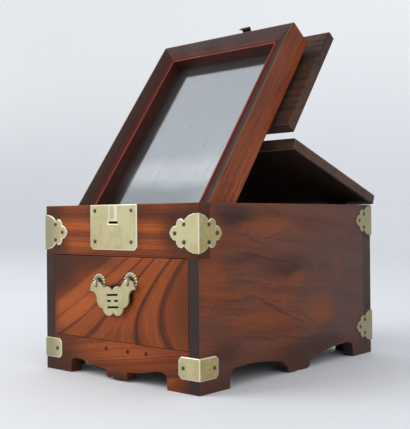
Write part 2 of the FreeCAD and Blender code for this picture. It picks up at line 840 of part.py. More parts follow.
def rear_case_leaf(sign, label, nails):
    """The hinge leaf on the case's back, with the middle knuckle."""
    span = hinge_span(sign, "rear")
    y = ("Places.back", "Places.back + Sizes.leaf_thick")
    foot = "Places.rear_pin_z - Sizes.leaf_length"
    plate = box(span["full"], y, (foot, "Places.rear_pin_z - Sizes.rear_knuckle - Sizes.knuckle_gap"))
    tongue = box(span["core"], y, (foot, "Places.rear_pin_z"))
    pin = ("Places.rear_pin_y", "Places.rear_pin_z")
    barrel = knuckle(*span["core"], *pin, "Sizes.rear_knuckle")
    bore = round_bar("X", *span["full"], *pin, "Places.knuckle_bore")
    keep(cut(fuse(plate, tongue, barrel), bore, nails), label)


def rear_lid_leaf(sign, label, nails):
    """The hinge leaf on the rear lid leaf: over its top, down its edge, two knuckles, a pin."""
    span = hinge_span(sign, "rear")
    top = ("Places.lid_top", "Places.lid_top + Sizes.leaf_thick")
    drop = ("Places.lid_back", "Places.lid_back + Sizes.leaf_thick")
    pin = ("Places.rear_pin_y", "Places.rear_pin_z")
    pieces = [
        box(span["full"], ("Places.lid_back - Sizes.leaf_length", drop[1]), top),
        box(span["full"], drop, ("Places.rear_pin_z + Sizes.rear_knuckle + Sizes.knuckle_gap", top[1])),
    ]
    for name in ("low", "high"):
        pieces.append(box(span[name], drop, ("Places.rear_pin_z", top[1])))
        pieces.append(knuckle(*span[name], *pin, "Sizes.rear_knuckle"))
    pieces.append(hinge_pin(span["middle"], "Sizes.middle_half", pin))
    keep(cut(fuse(*pieces), nails), label, "lid_rear")


def fold_leaf(sign, label, way, nails, body):
    """A leaf of a fold hinge: the rear one has two knuckles and the pin, the front one bore."""
    span = hinge_span(sign, "fold")
    line = "Places.fold_line"
    z = ("Places.lid_top", "Places.lid_top + Sizes.leaf_thick")
    far = f"{line} + {way} * Sizes.leaf_length"
    near = f"{line} + {way} * Sizes.fold_relief"
    names = ("low", "high") if way > 0 else ("core",)

    def reach(start):
        return (start, far) if way > 0 else (far, start)

    pieces = [box(span["full"], reach(near), z)]
    pin = (line, "Places.fold_pin")
    for name in names:
        pieces.append(box(span[name], reach(line), z))
        pieces.append(knuckle(*span[name], *pin, "Sizes.fold_knuckle"))
    if way > 0:
        pieces.append(hinge_pin(span["middle"], "Sizes.middle_half", pin))
        tools = [nails]
    else:
        tools = [round_bar("X", *span["full"], *pin, "Places.knuckle_bore"), nails]
    keep(cut(fuse(*pieces), *tools), label, body)


# Lid

def leaf_board(y_low, y_high, round_front, nails, label, body):
    """One leaf of the lid, its outer edges rounded."""
    body_item = doc.addObject("PartDesign::Body", label + "_body")
    origin = {item.Role: item for item in body_item.Origin.OriginFeatures}
    sketch = body_item.newObject("Sketcher::SketchObject", label + "_outline")
    sketch.AttachmentSupport = (origin["XY_Plane"], [""])
    sketch.MapMode = "FlatFace"
    sketch.setExpression("AttachmentOffset.Base.z", "Sizes.case_height")
    left, right = both("Places.lid_side")
    draw(sketch, [(left, y_low), (right, y_low), (right, y_high), (left, y_high)])
    pad = body_item.newObject("PartDesign::Pad", label + "_pad")
    pad.Profile = sketch
    pad.setExpression("Length", "Sizes.lid_thick")
    doc.recompute()
    edges = []
    for number, edge in enumerate(pad.Shape.Edges, start=1):
        middle = edge.CenterOfMass
        at_end = abs(middle.x) > places.lid_side - 0.1
        level = abs(edge.Vertexes[0].Z - edge.Vertexes[-1].Z) < 0.1
        outer_y = places.front if round_front else places.lid_back
        at_front = abs(middle.y - outer_y) < 0.1
        if level and (at_end or at_front):
            edges.append(f"Edge{number}")
    rounding = body_item.newObject("PartDesign::Fillet", label + "_rounding")
    rounding.Base = (pad, edges)
    rounding.setExpression("Radius", "Sizes.lid_round")
    body_item.Tip = rounding
    return keep(cut(body_item, nails), label, body)


def moulding(outer, sign, plane, low, high):
    """The frame's section: a rounded outer edge, a long slope, a bead and a rabbet."""
    face = "Places.frame_face"

    def at(across, drop):
        return f"{outer} + {sign} * ({across})", f"{face} + {drop}"

    back = "Places.frame_back"
    width = "Sizes.member_width"
    rabbet = "Sizes.member_width - Sizes.rabbet_width"
    turn = "Sizes.member_round"
    steps = [
        (f"{outer}", back),
        at("0", turn),
        at(f"0.29 * {turn}", f"0.29 * {turn}") + at(turn, f"0.1 * {turn}"),
        at("Sizes.slope_width", "Sizes.slope_drop"),
        at("Sizes.slope_width + 0.4", "Sizes.bead_foot"),
        at(f"({width} + Sizes.slope_width + 0.4) / 2", "Sizes.bead_drop") + at(width, "Sizes.bead_foot"),
        at(width, "Sizes.glass_drop"),
        at(rabbet, "Sizes.glass_drop"),
        (f"{outer} + {sign} * ({rabbet})", back),
    ]
    return prism(plane, steps, low, high)


def mitre(corners):
    return prism("XY", corners, "Places.frame_face - 1", "Places.frame_back + 1")


def frame_member(label, plane, sign):
    """A moulded member with a mitre at each end."""
    half, width = "Places.frame_half", "Sizes.member_width"
    low, high = "Places.frame_front", "Places.frame_rear"
    if plane == "XZ":
        outer = f"{-sign} * {half}"
        section = moulding(outer, sign, plane, low, high)
        inner = f"{outer} + {sign} * {width}"
        ends = mitre([(outer, low), (outer, high), (inner, f"{high} - {width}"),
                      (inner, f"{low} + {width}")])
    else:
        outer = low if sign > 0 else high
        section = moulding(outer, sign, plane, f"-{half}", half)
        inner = f"{outer} + {sign} * {width}"
        ends = mitre([(f"-{half}", outer), (half, outer), (f"{half} - {width}", inner),
                      (f"-({half} - {width})", inner)])
    keep(common(section, ends), label, "lid_front")


def glass_and_backing():
    inset = "(Sizes.member_width - Sizes.rabbet_width)"
    x = both(f"Places.frame_half - {inset}")
    y = (f"Places.frame_front + {inset}", f"Places.frame_rear - {inset}")
    front = "Places.frame_face + Sizes.glass_drop"
    back = f"{front} + Sizes.glass_thick"
    keep(block(x, y, (front, back)), "mirror_glass", "lid_front")
    keep(block(x, y, (back, "Places.frame_back")), "mirror_backing", "lid_front")


def battens():
    """Two battens that carry the mirror frame under the front leaf."""
    x = both("Places.frame_half - Sizes.batten_inset")
    z = ("Places.frame_back", "Sizes.case_height")
    fore = "Places.front + Sizes.batten_front"
    rear = "Places.fold_line - Sizes.batten_from_fold"
    keep(block(x, (fore, f"{fore} + Sizes.batten_width"), z), "batten_front", "lid_front")
    keep(block(x, (f"{rear} - Sizes.batten_width", rear), z), "batten_rear", "lid_front")


# Hasp

def hasp_plate(nails):
    """The plate on the lid that carries the hasp on a pin between its two knuckles."""
    middle = "Sizes.fitting_place"
    pin = ("Places.hasp_pin_y", "Places.hasp_pin_z")
    z = ("Places.lid_top", "Places.lid_top + Sizes.leaf_thick")
    outer = around(middle, "Sizes.hasp_half")
    core = around(middle, "Sizes.hasp_half / 2 + Sizes.knuckle_gap")
    relief = "Places.front + Sizes.leaf_thick"
    pieces = [box(outer, (relief, "Places.front + Sizes.hasp_plate_length"), z)]
    for x in ((outer[0], core[0]), (core[1], outer[1])):
        pieces.append(box(x, (pin[0], relief), z))
        pieces.append(knuckle(*x, *pin, "Sizes.hasp_knuckle"))
    pieces.append(hinge_pin(middle, "Sizes.hasp_half / 2", pin))
    keep(cut(fuse(*pieces), nails), "hasp_plate", "lid_front")


def hasp():
    """The hasp: a strap that hangs from its pin and ends in a lip for the lock's slot."""
    middle = "Sizes.fitting_place"
    pin_y, pin_z = "Places.hasp_pin_y", "Places.hasp_pin_z"
    half = "Sizes.hasp_thick / 2"
    low = "Places.slot_z"
    steps = [
        (f"{pin_y} - {half}", f"{pin_z}"),
        (f"{pin_y} - {half}", f"{low} - {half}"),
        (f"{pin_y} + Sizes.hasp_lip", f"{low} - {half}"),
        (f"{pin_y} + Sizes.hasp_lip", f"{low} + {half}"),
        (f"{pin_y} + {half}", f"{low} + {half}"),
        (f"{pin_y} + {half}", f"{pin_z}"),
    ]
    strap = prism("YZ", steps, *around(middle, "Sizes.hasp_half"))
    shoulder = "Sizes.rear_knuckle + 0.3"
    trims = []
    core = around(middle, "Sizes.hasp_half / 2")
    outer = around(middle, "Sizes.hasp_half + 1")
    for x in ((outer[0], core[0]), (core[1], outer[1])):
        trims.append(box(x, around(pin_y, "Sizes.hasp_thick"),
                         (f"{pin_z} - ({shoulder})", f"{pin_z} + 1")))
    loop = knuckle(*core, pin_y, pin_z, "Sizes.hasp_knuckle")
    bore = round_bar("X", *outer, pin_y, pin_z, "Places.knuckle_bore")
    keep(cut(fuse(cut(strap, *trims), loop), bore), "hasp", "hasp")


# Drawer

def drawer_pegs():
    """Pegs through the corners of the drawer, flush with its sides and bottom."""
    pegs = []
    half = "Sizes.peg_width / 2"
    for sign in (-1, 1):
        ends = ("Places.drawer_half - Sizes.peg_length", "Places.drawer_half")
        x = ends if sign > 0 else (f"-({ends[1]})", f"-({ends[0]})")
        for y in ("Places.front + (Sizes.rabbet_depth + Sizes.drawer_front_thick) / 2",
                  "Places.drawer_rear - Sizes.drawer_wall / 2"):
            for share in (0.25, 0.75):
                z = f"Places.drawer_floor + {share} * Sizes.drawer_wall_height"
                pegs.append(box(x, around(y, half), around(z, half)))
        wall = f"{sign} * (Places.drawer_half - Sizes.drawer_wall / 2)"
        for share in (0.2, 0.8):
            y = f"Places.front + {share} * Sizes.drawer_depth"
            pegs.append(box(around(wall, half), around(y, half),
                            ("Places.drawer_low", "Places.drawer_low + Sizes.peg_length")))
    return keep(group(*pegs), "drawer_pegs", "drawer")


def drawer_boards(pegs, eyelet_holes):
    half, inner = "Places.drawer_half", "Places.drawer_inner"
    front = "Places.front"
    inset = "Places.front + Sizes.rabbet_depth"
    face_back = "Places.front + Sizes.drawer_front_thick"
    low, floor = "Places.drawer_low", "Places.drawer_floor"
    wall_top, rear = "Places.drawer_wall_top", "Places.drawer_rear"
    face = box(both(half), (front, face_back), (low, "Places.drawer_high"))
    rabbets = [
        box((f"-{half}", f"-{inner}"), (inset, face_back), (low, wall_top)),
        box((inner, half), (inset, face_back), (low, wall_top)),
        box(both(half), (inset, face_back), (low, floor)),
    ]
    keep(cut(face, *rabbets, pegs, eyelet_holes), "drawer_front", "drawer")
    left = box((f"-{half}", f"-{inner}"), (inset, rear), (floor, wall_top))
    right = box((inner, half), (inset, rear), (floor, wall_top))
    end = box(both(inner), (f"{rear} - Sizes.drawer_wall", rear), (floor, wall_top))
    bottom = box(both(half), (inset, rear), (low, floor))
    keep(cut(left, pegs), "drawer_side_left", "drawer")
    keep(cut(right, pegs), "drawer_side_right", "drawer")
    keep(cut(end, pegs), "drawer_back", "drawer")
    keep(cut(bottom, pegs), "drawer_bottom", "drawer")


def pull_places():
    return [(sign, f"Sizes.pull_place + {sign} * Sizes.pull_half") for sign in (LEFT, RIGHT)]


def askew(item):
    """Turns a piece of the pull about the pull's middle, as it hangs a little askew."""
    item.Placement.Rotation = Rotation(Vector(0, 1, 0), -1)
    bind(item, Placement__Rotation__Angle="-Sizes.pull_tilt * 1 deg")
    return put(item, x="Places.tilt_x", z="Places.tilt_z")


def shank_hole(x):
    """A square hole for an eyelet's shank, through the rosette and the drawer front."""
    half = "Sizes.wire_radius + Sizes.wire_play"
    depth = ("Places.front - Sizes.bead_height", "Places.front + Sizes.drawer_front_thick + 1")
    return box(around(x, half), depth, around("Sizes.pull_height", half))


def rosette(label, x, hole):
    """A dished rosette with a ring of beads, turned and then patterned round its axis."""
    body_item = doc.addObject("PartDesign::Body", label + "_body")
    origin = {item.Role: item for item in body_item.Origin.OriginFeatures}
    profile = body_item.newObject("Sketcher::SketchObject", label + "_profile")
    profile.AttachmentSupport = (origin["XZ_Plane"], [""])
    profile.MapMode = "FlatFace"
    draw(profile, [
        ("0", "0"),
        ("Sizes.rosette_radius", "0"),
        ("Sizes.rosette_radius", "Sizes.rosette_thick"),
        ("Sizes.dish_radius", "Sizes.rosette_thick"),
        ("Sizes.dish_radius", "Sizes.dish_floor"),
        ("0", "Sizes.dish_floor"),
    ])
    disc = body_item.newObject("PartDesign::Revolution", label + "_disc")
    disc.Profile = profile
    disc.ReferenceAxis = (profile, ["V_Axis"])
    disc.Angle = 360
    bead = body_item.newObject("PartDesign::AdditivePrism", label + "_bead")
    bead.Polygon = 6
    bind(bead, Circumradius="Sizes.bead_radius", Height="Sizes.bead_height",
         AttachmentOffset__Base__x="Sizes.rosette_radius - Sizes.bead_inset")
    bead.AttachmentSupport = (origin["XY_Plane"], [""])
    bead.MapMode = "FlatFace"
    doc.recompute()
    ring = body_item.newObject("PartDesign::PolarPattern", label + "_beads")
    ring.Originals = [bead]
    ring.Axis = (origin["Z_Axis"], [""])
    ring.setExpression("Occurrences", "Sizes.bead_count")
    body_item.Tip = ring
    body_item.Placement.Rotation = Rotation(Vector(1, 0, 0), 90)
    put(body_item, x, "Places.front", "Sizes.pull_height")
    return keep(askew(cut(body_item, hole)), label, "drawer")


def eyelet(label, x):
    """A ring of square wire on a split shank, clinched up and down behind the drawer front."""
    z = "Sizes.pull_height"
    section = doc.addObject("Sketcher::SketchObject", "wire_section")
    side = "0.85 * Sizes.wire_radius"
    low, high = around("Sizes.ring_radius", side)
    draw(section, [(f"-{side}", low), (side, low), (side, high), (f"-{side}", high)])
    ring = doc.addObject("Part::Revolution", "ring")
    ring.Source = section
    ring.Axis = Vector(1, 0, 0)
    ring.Solid = True
    put(ring, x, "Places.ring_y", z)
    back = "Places.front + Sizes.drawer_front_thick"
    across = around(x, "Sizes.wire_radius")
    shank = box(across, ("Places.ring_y + Sizes.ring_radius", f"{back} + Sizes.tail_thick"),
                around(z, "Sizes.wire_radius"))
    tails = box(across, (back, f"{back} + Sizes.tail_thick"), around(z, "Sizes.tail_length"))
    return keep(askew(fuse(ring, shank, tails)), label, "drawer")


def pull_plate():
    """The bat-shaped plate that hangs in the eyelets, pierced with a three-line sign."""
    middle = "Sizes.pull_place"
    top = "(Sizes.pull_height + Sizes.pull_rise)"

    def scaled(step):
        return tuple(f"{top} - {value} * Sizes.pull_drop" if index % 2 else f"{value} * Sizes.pull_half"
                     for index, value in enumerate(step))

    steps = symmetric(middle, scaled(PULL_DIP), [scaled(step) for step in PULL_STEPS])
    y = around("Places.ring_y", "Sizes.pull_thick / 2")
    plate = prism("XZ", steps, *y)
    cuts = []
    for sign, x in pull_places():
        cuts.append(round_bar("Y", f"{y[0]} - 1", f"{y[1]} + 1", x,
                              "Sizes.pull_height - Sizes.ring_radius", "Sizes.pull_hole"))
    for share, spans in BARS:
        z = around(f"{top} - {share} * Sizes.pull_drop", "Sizes.bar_height / 2")
        for low, high in spans:
            x = (f"{middle} + {low} * Sizes.bar_half", f"{middle} + {high} * Sizes.bar_half")
            cuts.append(box(x, (f"{y[0]} - 1", f"{y[1]} + 1"), z))
    keep(askew(cut(plate, *cuts)), "pull_plate", "drawer_pull")


# Assembly

mount_nail_list = []
for place in MOUNTS:
    mount_nail_list += mount_nails(place)
case_nails = keep(group(*mount_nail_list, *lock_nails()), "case_nails")
pegs_in_apron = keep(apron_pegs(), "apron_pegs")

leaf_top = "Places.lid_top + Sizes.leaf_thick"
rear_leaf_nails = []
lid_rear_nail_list = []
lid_front_nail_list = []
for sign in (LEFT, RIGHT):
    rear_span = hinge_span(sign, "rear")
    fold_span = hinge_span(sign, "fold")
    for x, share in leaf_nail_spots(rear_span, BACK_LEAF_NAILS):
        rear_leaf_nails.append(nail_at("back", x, "Places.back + Sizes.leaf_thick",
                                       f"Places.rear_pin_z - {share} * Sizes.leaf_length"))
    for x, share in leaf_nail_spots(rear_span, LID_LEAF_NAILS):
        y = f"Places.lid_back - {share} * Sizes.leaf_length"
        lid_rear_nail_list.append(nail_at("up", x, y, leaf_top))
    for x, share in leaf_nail_spots(fold_span, LID_LEAF_NAILS):
        reach = f"{share} * Sizes.leaf_length"
        lid_rear_nail_list.append(nail_at("up", x, f"Places.fold_line + {reach}", leaf_top))
        lid_front_nail_list.append(nail_at("up", x, f"Places.fold_line - {reach}", leaf_top))
for share in HASP_PLATE_NAILS:
    y = f"Places.front + {share} * Sizes.hasp_plate_length"
    lid_front_nail_list.append(nail_at("up", "Sizes.fitting_place", y, leaf_top))
hinge_nails = keep(group(*rear_leaf_nails), "hinge_nails")
lid_rear_nails = group(*lid_rear_nail_list)
lid_front_nails = group(*lid_front_nail_list)

back_nails = fuse(case_nails, hinge_nails)
side_board(case_nails, LEFT)
side_board(case_nails, RIGHT)
front_rail(case_nails)
front_apron(case_nails, pegs_in_apron)
back_board(back_nails)
floor_board("tray_floor", "Places.rail_back", "Places.tray_top", case_nails)
floor_board("bottom_board", "Places.front + Sizes.apron_thick", "Sizes.apron_height", case_nails)
for place in MOUNTS:
    corner_mounts(place, case_nails)
lock_plate(case_nails)

for sign, hand in ((LEFT, "left"), (RIGHT, "right")):
    rear_case_leaf(sign, f"rear_hinge_case_leaf_{hand}", hinge_nails)
    rear_lid_leaf(sign, f"rear_hinge_lid_leaf_{hand}", lid_rear_nails)
    fold_leaf(sign, f"fold_hinge_rear_leaf_{hand}", 1, lid_rear_nails, "lid_rear")
    fold_leaf(sign, f"fold_hinge_front_leaf_{hand}", -1, lid_front_nails, "lid_front")

leaf_board("Places.fold_line + Sizes.leaf_gap / 2", "Places.lid_back", False,
           lid_rear_nails, "lid_rear_board", "lid_rear")
leaf_board("Places.front", "Places.fold_line - Sizes.leaf_gap / 2", True,
           lid_front_nails, "lid_front_board", "lid_front")
battens()
frame_member("frame_stile_left", "XZ", 1)
frame_member("frame_stile_right", "XZ", -1)
frame_member("frame_rail_top", "YZ", 1)
frame_member("frame_rail_bottom", "YZ", -1)
glass_and_backing()
hasp_plate(lid_front_nails)
hasp()
keep(group(lid_rear_nails), "lid_rear_nails", "lid_rear")
keep(group(lid_front_nails), "lid_front_nails", "lid_front")

shank_holes = []
for sign, x in pull_places():
    hand = "left" if sign == LEFT else "right"
    shank_holes.append(shank_hole(x))
    rosette(f"rosette_{hand}", x, shank_holes[-1])
    eyelet(f"eyelet_{hand}", x)
drawer_boards(drawer_pegs(), askew(group(*shank_holes)))
pull_plate()

doc.recompute()

# Every object has to be sound before anything is written.
for item in doc.Objects:
    if "Invalid" in item.State or "Error" in item.State:
        raise RuntimeError(f"{item.Label} ({item.Name}) did not recompute: {item.State}")
for item in parts:
    if item.Shape.isNull() or not item.Shape.isValid() or not item.Shape.Solids:
        raise RuntimeError(f"{item.Label} has no sound solid")

os.makedirs("parts", exist_ok=True)
for item in parts:
    item.Shape.exportStep(os.path.join("parts", f"{item.Label}.step"))
print(f"{len(parts)} pieces; lid open {rest_open:.3f}, leaf folded {rest_fold:.3f} degrees")
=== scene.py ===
import json
import math

import bmesh
import bpy
from bpy.props import FloatProperty, FloatVectorProperty, IntProperty, PointerProperty
from mathutils import Matrix, Vector

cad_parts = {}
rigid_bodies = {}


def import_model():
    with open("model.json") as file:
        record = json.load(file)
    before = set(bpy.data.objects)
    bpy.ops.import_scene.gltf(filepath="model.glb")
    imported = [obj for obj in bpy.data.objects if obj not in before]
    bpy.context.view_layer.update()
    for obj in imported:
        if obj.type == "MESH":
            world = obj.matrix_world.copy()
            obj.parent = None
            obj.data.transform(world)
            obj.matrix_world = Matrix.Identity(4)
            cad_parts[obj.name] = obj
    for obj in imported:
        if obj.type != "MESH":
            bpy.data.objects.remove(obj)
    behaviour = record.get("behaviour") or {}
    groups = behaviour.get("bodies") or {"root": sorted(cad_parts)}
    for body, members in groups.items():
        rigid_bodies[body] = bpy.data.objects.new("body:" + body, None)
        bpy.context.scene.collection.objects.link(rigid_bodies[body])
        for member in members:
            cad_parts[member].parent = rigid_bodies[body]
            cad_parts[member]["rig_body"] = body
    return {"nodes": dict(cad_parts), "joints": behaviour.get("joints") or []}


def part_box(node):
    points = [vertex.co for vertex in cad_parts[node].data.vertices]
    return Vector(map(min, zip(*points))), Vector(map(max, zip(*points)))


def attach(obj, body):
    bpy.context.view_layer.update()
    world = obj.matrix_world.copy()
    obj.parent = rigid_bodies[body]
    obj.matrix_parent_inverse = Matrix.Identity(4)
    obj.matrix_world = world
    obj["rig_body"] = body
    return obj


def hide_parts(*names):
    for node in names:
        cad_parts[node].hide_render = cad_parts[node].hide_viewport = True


bl_info = {
    "name": "Mirror Box Finish",
    "version": (1, 0, 0),
    "blender": (4, 5, 0),
    "location": "View3D > Sidebar > Mirror Box",
    "description": "Dresses the packed mirror box in aged wood, white brass and old glass",
    "category": "Object",
}

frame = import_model()
nodes = frame["nodes"]
joints = {joint["name"]: joint for joint in frame["joints"]}

MM = 0.001

# The case, measured on its packed boards.
SIDE_LOW, SIDE_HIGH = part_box("side_right")
CASE_HALF = SIDE_HIGH.x
CASE_FRONT = SIDE_LOW.y

# How far the leaf with the mirror is turned from closed, and where its fold pin is closed.
LEAF_TURN = math.radians(125.716)
FOLD_CLOSED = Vector((0.0, -0.0155, 0.16395))
FOLD_REST = Vector(joints["leaf_fold"]["pos_m"])

# The photograph's camera, in metres, millimetres and radians.
CAMERA_PLACE = (0.50310, -0.58766, 0.13784)
CAMERA_AZIMUTH, CAMERA_ELEVATION, CAMERA_ROLL = 0.7215, 0.0045, 0.0078
SENSOR_WIDTH, LENS = 36.0, 66.44

# The lamps: place, target and size in metres, and the fill's share of the key's power.
KEY_LAMP = ((-1.1, -1.3, 1.25), (0, -0.02, 0.13), 1.3)
FILL_LAMP = ((1.7, -0.9, 0.75), (0, 0, 0.12), 1.4)
FILL_SHARE = 0.25


def paint(red, green, blue):
    """A colour read as 0 to 255, turned into the linear values that shaders use."""
    def linear(value):
        share = value / 255
        return share / 12.92 if share <= 0.04045 else ((share + 0.055) / 1.055) ** 2.4
    return (linear(red), linear(green), linear(blue), 1.0)


# Sizes and colours

def tone(name, description, red, green, blue):
    return FloatVectorProperty(name=name, description=description, subtype="COLOR", size=4,
                               min=0, max=1, default=paint(red, green, blue))


def length(name, description, millimetres):
    return FloatProperty(name=name, description=description, subtype="DISTANCE",
                         unit="LENGTH", default=millimetres * MM, min=0, precision=5)


class WoodColours(bpy.types.PropertyGroup):
    light: tone("Light Wood", "The bright bands of the figured wood", 166, 85, 36)
    middle: tone("Middle Wood", "The body of the figured wood", 126, 60, 28)
    line: tone("Ring Lines", "The dark lines of the growth rings", 56, 28, 17)
    # This colour is painted shade, laid round the drawer front's edges and in the rail's and
    # apron's dusky places.
    painted_shade: tone("Smoke", "Wood darkened by smoke and handling", 62, 36, 25)
    edge_grain: tone("End Grain", "The dark ends of the boards", 48, 42, 39)
    side_smoke: tone("Side Smoke", "Grey film on the sides", 82, 66, 62)
    bare: tone("Bare Wood", "Unfinished wood inside the case", 120, 88, 62)
    edge_round: length("Edge Round", "How far worn edges are rounded", 0.4)


class MetalColours(bpy.types.PropertyGroup):
    brass: tone("White Brass", "Pale alloy of the mounts", 192, 184, 144)
    tarnish: tone("Tarnish", "Golden brown film on the mounts", 168, 150, 96)
    # The rim colour is a painted highlight, laid on the bevelled rims of the brass plates, the
    # beads and the eyelets.
    highlit: tone("Rim Highlight", "Bright metal where the rims are rubbed", 240, 236, 216)
    nail: tone("Nail Heads", "Dark bronze of the nail heads", 84, 78, 48)
    iron: tone("Iron", "Black iron of hinges and hasp", 62, 52, 46)
    rim: length("Rim", "Width of the rubbed rim round each plate", 0.8)


class NailSizes(bpy.types.PropertyGroup):
    radius: length("Head Radius", "Radius of a nail head", 1.85)
    height: length("Head Height", "Height of a nail head", 0.55)
    seed: IntProperty(name="Seed", description="Varies the hammered heads", default=7, min=0)


class RosetteSizes(bpy.types.PropertyGroup):
    beads: IntProperty(name="Beads", description="Beads round a rosette", default=16, min=3)
    bead_radius: length("Bead Radius", "Radius of a bead", 1.0)
    bead_height: length("Bead Height", "Height of a bead above the drawer front", 1.7)


class StageColours(bpy.types.PropertyGroup):
    floor: tone("Floor", "Pale floor and backdrop", 225, 227, 230)
    key_power: FloatProperty(name="Key Light", description="Power of the soft light on the left",
                             default=19.0, min=0, unit="POWER")


def lifted(colour, lift):
    """A colour made lighter by a factor, as on a worn edge."""
    return tuple(min(1.0, part * lift) for part in colour[:3]) + (1.0,)


# Node graphs

class NodeGraph:
    """A node tree, built with short calls."""

    def __init__(self, tree):
        self.tree = tree
        tree.nodes.clear()

    def add(self, kind, inputs=None, output=0, **settings):
        node = self.tree.nodes.new(kind)
        for key, value in settings.items():
            setattr(node, key, value)
        for key, value in (inputs or {}).items():
            self.feed(node.inputs[key], value)
        return node.outputs[output]

    def feed(self, socket, value):
        if isinstance(value, bpy.types.NodeSocket):
            self.tree.links.new(value, socket)
        elif value is not None:
            socket.default_value = value

    def ramp(self, value, stops):
        node = self.tree.nodes.new("ShaderNodeValToRGB")
        self.feed(node.inputs[0], value)
        elements = node.color_ramp.elements
        while len(elements) > 1:
            elements.remove(elements[-1])
        for number, (position, shade) in enumerate(stops):
            element = elements[0] if number == 0 else elements.new(position)
            element.position = position
            element.color = shade if isinstance(shade, tuple) else (shade, shade, shade, 1)
        return node.outputs[0]


class Graph(NodeGraph):
    """A material's node tree. Lengths in it are millimetres."""

    def __init__(self, name):
        self.material = bpy.data.materials.new(name)
        self.material.use_nodes = True
        super().__init__(self.material.node_tree)

    def math(self, operation, first, second=None, third=None, clamp=False):
        return self.add("ShaderNodeMath", {0: first, 1: second, 2: third},
                        operation=operation, use_clamp=clamp)

    def times(self, first, second):
        return self.math("MULTIPLY", first, second)

    def place(self, location=(0, 0, 0), turn=0.0):
        """Object coordinates in millimetres, turned about X and then moved."""
        source = self.add("ShaderNodeTexCoord", output="Object")
        return self.add("ShaderNodeMapping", {"Vector": source, "Location": location,
                                              "Rotation": (turn, 0, 0),
                                              "Scale": (1000, 1000, 1000)})

    def split(self, vector):
        parts = self.tree.nodes.new("ShaderNodeSeparateXYZ")
        self.feed(parts.inputs[0], vector)
        return parts.outputs[0], parts.outputs[1], parts.outputs[2]

    def join(self, x, y, z):
        return self.add("ShaderNodeCombineXYZ", {0: x, 1: y, 2: z})

    def stretch(self, vector, scale):
        return self.add("ShaderNodeVectorMath", {0: vector, 1: scale}, operation="MULTIPLY")

    def power(self, value, exponent):
        """A whole power of a value, from 0 to 3."""
        result = 1.0
        for _ in range(exponent):
            result = self.times(value, result)
        return result

    def noise(self, vector, scale, detail=4.0, roughness=0.55, output=0):
        return self.add("ShaderNodeTexNoise", {"Vector": vector, "Scale": scale, "Detail": detail,
                                               "Roughness": roughness}, output=output)

    def bands(self, value, scale, detail=5.0, roughness=0.6):
        return self.add("ShaderNodeTexNoise", {"W": value, "Scale": scale, "Detail": detail,
                                               "Roughness": roughness}, noise_dimensions="1D")

    def between(self, value, low, high, start=0.0, end=1.0):
        """A smooth change from start to end as value goes from low to high."""
        return self.add("ShaderNodeMapRange", {0: value, 1: low, 2: high, 3: start, 4: end},
                        interpolation_type="SMOOTHSTEP")

    def mix(self, share, first, second, blend="MIX"):
        node = self.tree.nodes.new("ShaderNodeMix")
        node.data_type = "RGBA"
        node.blend_type = blend
        self.feed(node.inputs[0], share)
        self.feed(node.inputs[6], first)
        self.feed(node.inputs[7], second)
        return node.outputs[2]

    def coat(self, colour, share, strength, over):
        """A colour with another laid over it, by a share times a strength."""
        return self.mix(self.times(share, strength), colour, over)

    def profile(self, value, stops):
        """A value that follows (position, height) stops, in the unit of the value."""
        low, high = stops[0][0], stops[-1][0]
        share = self.add("ShaderNodeMapRange", {0: value, 1: low, 2: high, 3: 0.0, 4: 1.0})
        return self.ramp(share, [((at - low) / (high - low), height) for at, height in stops])

    def patch(self, vector, centre, size, rise=0.0):
        """A soft ellipsoid spot: 1 in its middle, 0 at its edge. It may rise towards the back."""
        spot = self.add("ShaderNodeMapping", {"Vector": vector, "Location": centre, "Scale": size,
                                              "Rotation": (math.radians(rise), 0, 0)},
                        vector_type="TEXTURE")
        gradient = self.add("ShaderNodeTexGradient", {"Vector": spot}, output="Fac",
                            gradient_type="SPHERICAL")
        return self.between(gradient, 0.0, 0.8)

    def total(self, values):
        result = values[0]
        for value in values[1:]:
            result = self.math("MAXIMUM", result, value)
        return result

    def bump(self, height, strength, distance):
        return self.add("ShaderNodeBump", {"Height": height, "Strength": strength,
                                           "Distance": distance * MM})

    def finish(self, **inputs):
        """Ends the graph in a surface shader with these inputs."""
        shader = self.tree.nodes.new("ShaderNodeBsdfPrincipled")
        for key, value in inputs.items():
            self.feed(shader.inputs[key.replace("_", " ")], value)
        output = self.tree.nodes.new("ShaderNodeOutputMaterial")
        self.tree.links.new(shader.outputs[0], output.inputs[0])
        return self.material


def wood_surface(graph, where, along, colour, gloss=0.42):
    """Fibres, pores and a hand-rubbed sheen over a wood colour, with the grain's direction
    given as how slowly the fibres change along each axis."""
    fibre_space = graph.stretch(where, along)
    fibres = graph.noise(fibre_space, 2.6, detail=6.0, roughness=0.65)
    pore_space = graph.stretch(fibre_space, (1.7, 1.7, 1.7))
    pores = graph.noise(pore_space, 3.4, detail=3.0, roughness=0.5)
    pits = graph.between(pores, 0.36, 0.27)
    shade = graph.between(fibres, 0.3, 0.72, 0.74, 1.2)
    toned = graph.mix(1.0, colour, graph.join(shade, shade, shade), blend="MULTIPLY")
    pitted = graph.coat(toned, pits, 0.62, paint(40, 24, 20))
    rubbing = graph.noise(where, 0.035, detail=3.0)
    roughness = graph.between(rubbing, 0.3, 0.7, gloss - 0.08, gloss + 0.12)
    height = graph.math("SUBTRACT", graph.times(fibres, 0.5), pits)
    return graph.finish(Base_Color=pitted, Roughness=roughness, Specular_IOR_Level=0.12,
                        Normal=graph.bump(height, 0.35, 0.25))


# The drawer front's figure: a level that changes slowly across the board, as powers of x and
# z from FIGURE_Z, each over its own scale in millimetres. Its lines rise to the right, and those
# on the right bend down.
FIGURE_ACROSS, FIGURE_UP, FIGURE_Z = 80, 40, 70
FIGURE = {(0, 0): 2.404, (0, 1): 1.853, (0, 2): 0.993, (0, 3): 0.057, (1, 0): -3.079,
          (1, 1): -1.619, (1, 2): 0.221, (2, 0): -0.156, (2, 1): 0.06, (3, 0): -0.432}
